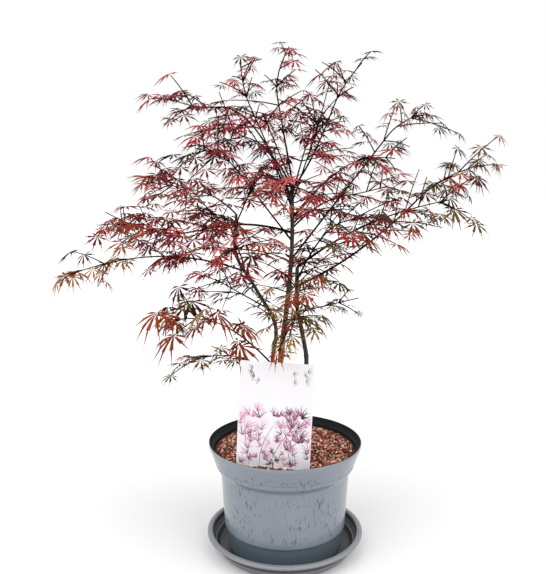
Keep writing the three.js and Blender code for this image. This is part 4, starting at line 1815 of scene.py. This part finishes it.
@dataclass
class Soil:
    """The bark mix: a domed uneven surface, strewn with chips and fibres."""

    card: Card
    rings: int = 64
    turns: int = 176
    unevenness: float = 0.0016
    mound: tuple = (0.008, 0.002)  # heaped against the card's left and right end
    mound_reach: float = 0.009
    chip_density: float = 62000.0
    fibre_density: float = 42000.0
    seed: int = 11
    clearance: float = 0.0004
    dome: float = 0.003
    bed_inset: float = 0.006
    bed_lift: float = 0.0004
    tilt: float = 0.7
    sizes: tuple = (0.55, 1.25)
    chip_forms: int = 5
    fibre_forms: int = 4

    def height(self, x: float, y: float, radius: float, edge: float, crown: float) -> float:
        """Gives the soil's height at a place: a low dome, and a mound along the card's foot.

        Args:
            x: the place's distance to the right.
            y: its distance to the back.
            radius: the soil's radius.
            edge: the height of the edge.
            crown: the height of the middle.

        Returns:
            The height.
        """
        turn = math.radians(self.card.turn)
        across, away = x - self.card.x, y - self.card.y
        along = across * math.cos(turn) + away * math.sin(turn)
        off = away * math.cos(turn) - across * math.sin(turn)
        share = min(1.0, max(0.0, along / self.card.width + 0.5))
        beyond = max(0.0, abs(along) - self.card.width / 2)
        left, right = self.mound
        near = math.exp(-((off / self.mound_reach) ** 2) - (beyond / self.mound_reach) ** 2)
        dome = (crown - edge) * (1 - (x * x + y * y) / radius**2)
        return edge + dome + (left + (right - left) * share) * near

    def surface(self, radius: float, edge: float, crown: float, wall: Sequence[tuple[float, float]]) -> Mesh:
        """Makes the closed body of the soil.

        Args:
            radius: its radius at the top edge.
            edge: the height of the edge.
            crown: the height of the middle.
            wall: the pot's inner wall from the collar down, as radii and heights.

        Returns:
            The mesh. Its first faces are the upper surface.
        """
        points, faces = [(0.0, 0.0, crown)], []
        for i in range(1, self.rings + 1):
            share = i / self.rings
            for j in range(self.turns):
                angle = 2 * math.pi * j / self.turns
                x, y = radius * share * math.cos(angle), radius * share * math.sin(angle)
                rough = noise.fractal(Vector((90 * x, 90 * y, 3.0)), 0.8, 2.1, 5)
                points.append((x, y, self.height(x, y, radius, edge, crown) + self.unevenness * rough))
        for j in range(self.turns):
            faces.append((0, 1 + j, 1 + (j + 1) % self.turns))
        for i in range(self.rings - 1):
            faces += band(1 + i * self.turns, 1 + (i + 1) * self.turns, self.turns, flip=True)
        last = 1 + (self.rings - 1) * self.turns
        rim = points[last:]
        for wall_radius, height in wall:
            share = (wall_radius - self.clearance) / radius
            points += [(share * x, share * y, height) for x, y, _ in rim]
            faces += band(last, last + self.turns, self.turns, flip=True)
            last += self.turns
        faces.append(tuple(last + j for j in reversed(range(self.turns))))
        return mesh_of("soil_body", points, faces)

    def strewn(
        self, name: str, bed: Piece, shapes: Sequence[Mesh], density: float, finishes: Sequence[Finish]
    ) -> Piece:
        """Strews shapes over a bed, by Geometry Nodes.

        Args:
            name: the piece's name.
            bed: the surface.
            shapes: the shapes to pick from.
            density: how many there are on a square metre.
            finishes: the finishes to pick from.

        Returns:
            The piece.
        """
        forms = bpy.data.collections.new(name + "_forms")
        for i, shape in enumerate(shapes):
            forms.objects.link(bpy.data.objects.new(f"{name}_form_{i}", shape))
        grower = Grower(name + "_strewing", {"Forms": "collection", "Density": "number", "Seed": "count"})
        put, start = grower.sketch.put, grower.start
        inputs = {"Mesh": start["Geometry"], "Density": start["Density"], "Seed": start["Seed"]}
        spread = put("GeometryNodeDistributePointsOnFaces", inputs)

        def drawn(kind: str, low: object, high: object, seed: int) -> Socket:
            """Draws a random value for each point."""
            node = put("FunctionNodeRandomValue", {"Seed": seed}, data_type=kind)
            ends = [socket for socket in node.inputs if socket.enabled and socket.name in ("Min", "Max")]
            ends[0].default_value, ends[1].default_value = low, high
            return next(socket for socket in node.outputs if socket.enabled)

        turn = drawn("FLOAT_VECTOR", (-self.tilt, -self.tilt, 0), (self.tilt, self.tilt, FULL_TURN), 1)
        tint = drawn("INT", 0, len(finishes) - 1, 2)
        store = {"Geometry": spread.outputs["Points"], "Name": "tint", "Value": tint}
        points = put("GeometryNodeStoreNamedAttribute", store, data_type="INT", domain="POINT").outputs[0]
        form, size = drawn("INT", 0, len(shapes) - 1, 3), drawn("FLOAT", *self.sizes, 4)
        grower.finish(grower.place_forms(points, form, turn, size), finishes, "tint")
        return grower.grow(name, bed, Forms=forms, Density=density, Seed=self.seed)

    def chip(self, number: int) -> Mesh:
        """Makes one bark chip, a split flake with a rough outline."""
        draws = Draws(f"chip_{number}")
        long, wide, thick = 0.0078 + draws.wobble(0.003), 0.0028 + draws.wobble(0.001), 0.0009
        outline = [(-1, -0.4), (-0.3, -1), (0.7, -0.8), (1.1, 0.1), (0.4, 0.9), (-0.8, 0.7)]
        flat = []
        for x, y in outline:
            across = long / 2 * x * (1 + draws.wobble(0.2))
            flat.append((across, wide / 2 * y * (1 + draws.wobble(0.3))))
        points = [(x, y, side * thick * (1 + draws.wobble(0.5))) for side in (-1, 1) for x, y in flat]
        count = len(flat)
        faces = [tuple(reversed(range(count))), tuple(range(count, 2 * count)), *band(0, count, count)]
        return mesh_of(f"chip_{number}", points, faces, smooth=False)

    def fibre(self, number: int) -> Mesh:
        """Makes one fibre, a thin bent strand with three sides."""
        draws = Draws(f"fibre_{number}")
        length, radius, bow = 0.009 + draws.wobble(0.003), 0.00032, 0.3 + draws.wobble(0.25)
        points, faces = [], []
        for i in range(4):
            share = i / 3
            middle = Vector(((share - 0.5) * length, bow * length * math.sin(math.pi * share), 0.0006))
            for j in range(3):
                angle = 2 * math.pi * j / 3
                points.append(middle + Vector((0, radius * math.cos(angle), radius * math.sin(angle))))
        for i in range(3):
            faces += band(3 * i, 3 * (i + 1), 3)
        faces += [(2, 1, 0), (9, 10, 11)]
        return mesh_of(f"fibre_{number}", points, faces)

    def build(self, pot: Pot, body: Finish, chips: Sequence[Finish], fibres: Sequence[Finish]) -> None:
        """Builds and settles the soil, the chips and the fibres.

        Args:
            pot: the pot that it fills.
            body: the soil's own finish.
            chips: the finishes of the chips.
            fibres: the finishes of the fibres.
        """
        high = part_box("soil")[1]
        crown, radius = high.z, high.x - self.clearance
        edge = crown - self.dome
        soil = link("soil_body", self.surface(radius, edge, crown, pot.inner_wall()))
        chip_shapes = [self.chip(i) for i in range(self.chip_forms)]
        fibre_shapes = [self.fibre(i) for i in range(self.fibre_forms)]
        for name, shapes, density, finishes in (
            ("soil_chips", chip_shapes, self.chip_density, chips),
            ("soil_fibres", fibre_shapes, self.fibre_density, fibres),
        ):
            bed = self.bed(radius - self.bed_inset, edge, crown)
            settle(self.strewn(name, bed, shapes, density, finishes))
        settle(soil, ["soil"], body)

    def bed(self, radius: float, edge: float, crown: float) -> Piece:
        """Makes the open surface that chips are strewn over, a little above the soil.

        Args:
            radius: its radius.
            edge: the height of the edge.
            crown: the height of the middle.

        Returns:
            The bed.
        """
        rings, turns = 40, 120
        points, faces = [(0.0, 0.0, crown)], [(0, 1 + j, 1 + (j + 1) % turns) for j in range(turns)]
        for i in range(1, rings + 1):
            for j in range(turns):
                angle = 2 * math.pi * j / turns
                x, y = radius * i / rings * math.cos(angle), radius * i / rings * math.sin(angle)
                points.append((x, y, self.height(x, y, radius, edge, crown) + self.bed_lift))
        for i in range(rings - 1):
            faces += band(1 + i * turns, 1 + (i + 1) * turns, turns, flip=True)
        return link("strewing_bed", mesh_of("strewing_bed", points, faces))


# Studio


@dataclass
class Studio:
    """The plain pale floor, the soft lights and the camera."""

    camera_place: tuple = (-0.0214, -1.1668, 0.6488)
    camera_pitch: float = 0.1499
    lens: float = 42.69
    floor_size: float = 60.0
    floor_color: Color = (0.72, 0.72, 0.72)
    sensor: float = 36.0
    world: float = 1.0
    spread: float = 50.0  # degrees that each light fills

    @classmethod
    def on_stem_plane(cls, opening: Opening) -> tuple[int, int, int]:
        """Carries an opening of the photograph onto the upright plane through the pot's axis.

        Args:
            opening: the opening, in pixels.

        Returns:
            The x and z of its middle and its radius, in whole millimetres.
        """
        across, down = PHOTO_SIZE
        focal = cls.lens / cls.sensor * max(PHOTO_SIZE)
        cosine, sine = math.cos(cls.camera_pitch), math.sin(cls.camera_pitch)
        left, front, eye = cls.camera_place
        slope = (opening.row - down / 2) / focal
        drop = -front * (sine + cosine * slope) / (cosine - sine * slope)
        depth = drop * sine - front * cosine
        x = left + (opening.column - across / 2) * depth / focal
        return round(x / MM), round((eye - drop) / MM), round(opening.radius * depth / focal / MM)

    def build(self) -> None:
        """Builds the floor, the lights and the camera."""
        half = self.floor_size / 2
        corners = [(-half, -half, 0), (half, -half, 0), (half, half, 0), (-half, half, 0)]
        floor = link("studio_floor", mesh_of("studio_floor", corners, [(0, 1, 2, 3)], smooth=False))
        floor.data.materials.append(PlainFinish("studio_white", self.floor_color, 0.9, 0.0).material())
        bpy.context.scene.view_settings.view_transform = "Standard"
        world = bpy.data.worlds.new("studio_air")
        bpy.context.scene.world = world
        world.use_nodes = True
        air = world.node_tree.nodes["Background"]
        air.inputs["Color"].default_value = (1.0, 1.0, 1.0, 1.0)
        air.inputs["Strength"].default_value = self.world
        self.light("left_softbox", (-1.0, -0.8, 1.5), 1.4)
        self.light("right_softbox", (1.1, -0.7, 1.5), 1.3)
        camera = bpy.data.objects.new("camera", bpy.data.cameras.new("camera"))
        bpy.context.scene.collection.objects.link(camera)
        camera.location = self.camera_place
        camera.rotation_euler = (math.pi / 2 - self.camera_pitch, 0, 0)
        camera.data.lens = self.lens
        camera.data.sensor_width = self.sensor
        camera.data.clip_start, camera.data.clip_end = 0.01, 100
        bpy.context.scene.camera = camera

    def light(self, name: str, place: Sequence[float], power: float) -> None:
        """Hangs one very wide soft light, as even over the floor as a bank of lamps far off.

        Args:
            name: its name.
            place: the direction that its light comes from.
            power: its irradiance in watts on a square metre.
        """
        lamp = bpy.data.lights.new(name, "SUN")
        lamp.energy, lamp.angle = power, math.radians(self.spread)
        made = bpy.data.objects.new(name, lamp)
        bpy.context.scene.collection.objects.link(made)
        made.location = place
        made.rotation_euler = Vector(place).to_track_quat("Z", "Y").to_euler()


# Colours of the loose pieces and the inks

CHIP_COLORS = {
    "russet": (0.28, 0.07, 0.04),
    "brown": (0.11, 0.026, 0.015),
    "orange": (0.52, 0.17, 0.09),
    "tan": (0.85, 0.52, 0.38),
    "dark": (0.008, 0.003, 0.002),
}
FIBRE_COLORS = {"russet": (0.4, 0.11, 0.065), "pale": (0.9, 0.66, 0.54)}
INK_COLORS = {
    Ink.MAUVE: (0.34, 0.09, 0.2),
    Ink.PINK: (0.56, 0.18, 0.33),
    Ink.PLUM: (0.11, 0.03, 0.07),
    Ink.GREY: (0.2, 0.19, 0.2),
}


def build_planter() -> None:
    """Builds the saucer, the pot, the soil and the card, each in its finishes."""
    pot_outside = PlasticFinish(
        "pot_plastic",
        ground=(0.168, 0.194, 0.236),
        mark=(0.05, 0.062, 0.078),
        dust=(0.225, 0.25, 0.285),
        marks=0.8,
        roughness=0.32,
        band=(0.046, 0.19),
        coat=0.6,
        # the foot's painted shade
        lower=(0.1, 0.132, 0.16),
    )
    # The pot's inside: its plastic darkened as painted shade.
    pot_inside_painted_shade = PlasticFinish(
        "pot_inside_painted_shade",
        ground=(0.009, 0.012, 0.014),
        mark=(0.005, 0.006, 0.007),
        dust=(0.016, 0.019, 0.021),
        coat=0.0,
        specular=0.12,
    )
    saucer_outside = PlasticFinish(
        "saucer_plastic",
        ground=(0.165, 0.168, 0.185),
        mark=(0.09, 0.09, 0.1),
        dust=(0.22, 0.225, 0.24),
        marks=0.2,
        roughness=0.4,
    )
    # The saucer's inside: its plastic darkened as the painted shadow of the pot.
    saucer_inside_painted_shade = PlasticFinish(
        "saucer_inside_painted_shade",
        ground=(0.05, 0.052, 0.058),
        mark=(0.03, 0.031, 0.035),
        dust=(0.085, 0.087, 0.092),
        marks=0.2,
        roughness=0.4,
        coat=0.1,
        specular=0.3,
    )
    Saucer().build(saucer_outside, saucer_inside_painted_shade)
    pot, card = Pot(), Card()
    pot.build(pot_outside, pot_inside_painted_shade)
    chips = [PlainFinish("chip_" + name, color, 0.8, 0.2) for name, color in CHIP_COLORS.items()]
    fibres = [PlainFinish("fibre_" + name, color, 0.8, 0.2) for name, color in FIBRE_COLORS.items()]
    Soil(card).build(pot, GroundFinish("bark_mix", (0.02, 0.007, 0.004), (0.15, 0.042, 0.02)), chips, fibres)
    wash_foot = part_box("plant_card")[0].z + 0.035
    paper = CardFinish("card_paper", (0.72, 0.71, 0.725), (0.68, 0.44, 0.56), wash_foot, wash_foot + 0.115)
    card.build(paper, [PlainFinish("ink_" + ink.name.lower(), INK_COLORS[ink], 0.3) for ink in Ink])


def build_plant() -> None:
    """Grows the plant, and builds its wood and its foliage, each in its finishes."""
    skeleton = Skeleton(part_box("main_stem")[0].z / MM)
    skeleton.grow()
    stem_bark = BarkFinish(
        "stem_bark", ground=(0.03, 0.027, 0.017), streak=(0.15, 0.135, 0.088), pore=(0.42, 0.38, 0.27)
    )
    bough_bark = BarkFinish(
        "bough_bark",
        ground=(0.007, 0.004, 0.004),
        streak=(0.022, 0.012, 0.01),
        pore=(0.1, 0.075, 0.05),
        streak_share=0.3,
        pore_share=0.3,
        specular=0.06,
    )
    Wood(skeleton).build(stem_bark, bough_bark)
    lows, highs = zip(*(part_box("leaves_" + name) for name in CROWN))
    foliage = Foliage(skeleton, (np.min(lows, axis=0) / MM, np.max(highs, axis=0) / MM))
    foliage.grow()
    tints = [PlainFinish("leaf_" + tint.name.lower(), tint.value, 0.55, 0.12) for tint in Tint]
    shoot = PlainFinish("young_shoot", (0.01, 0.003, 0.003), 0.8, 0.05)
    stalk = PlainFinish("leaf_stalk", (0.025, 0.004, 0.005), 0.8, 0.05)
    foliage.build(tints, shoot, stalk)


def main() -> None:
    """Builds the studio, the planter and the plant around the frame."""
    logging.basicConfig(level=logging.INFO, format="%(name)s: %(message)s")
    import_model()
    Studio().build()
    build_planter()
    build_plant()


if __name__ == "__main__":
    main()
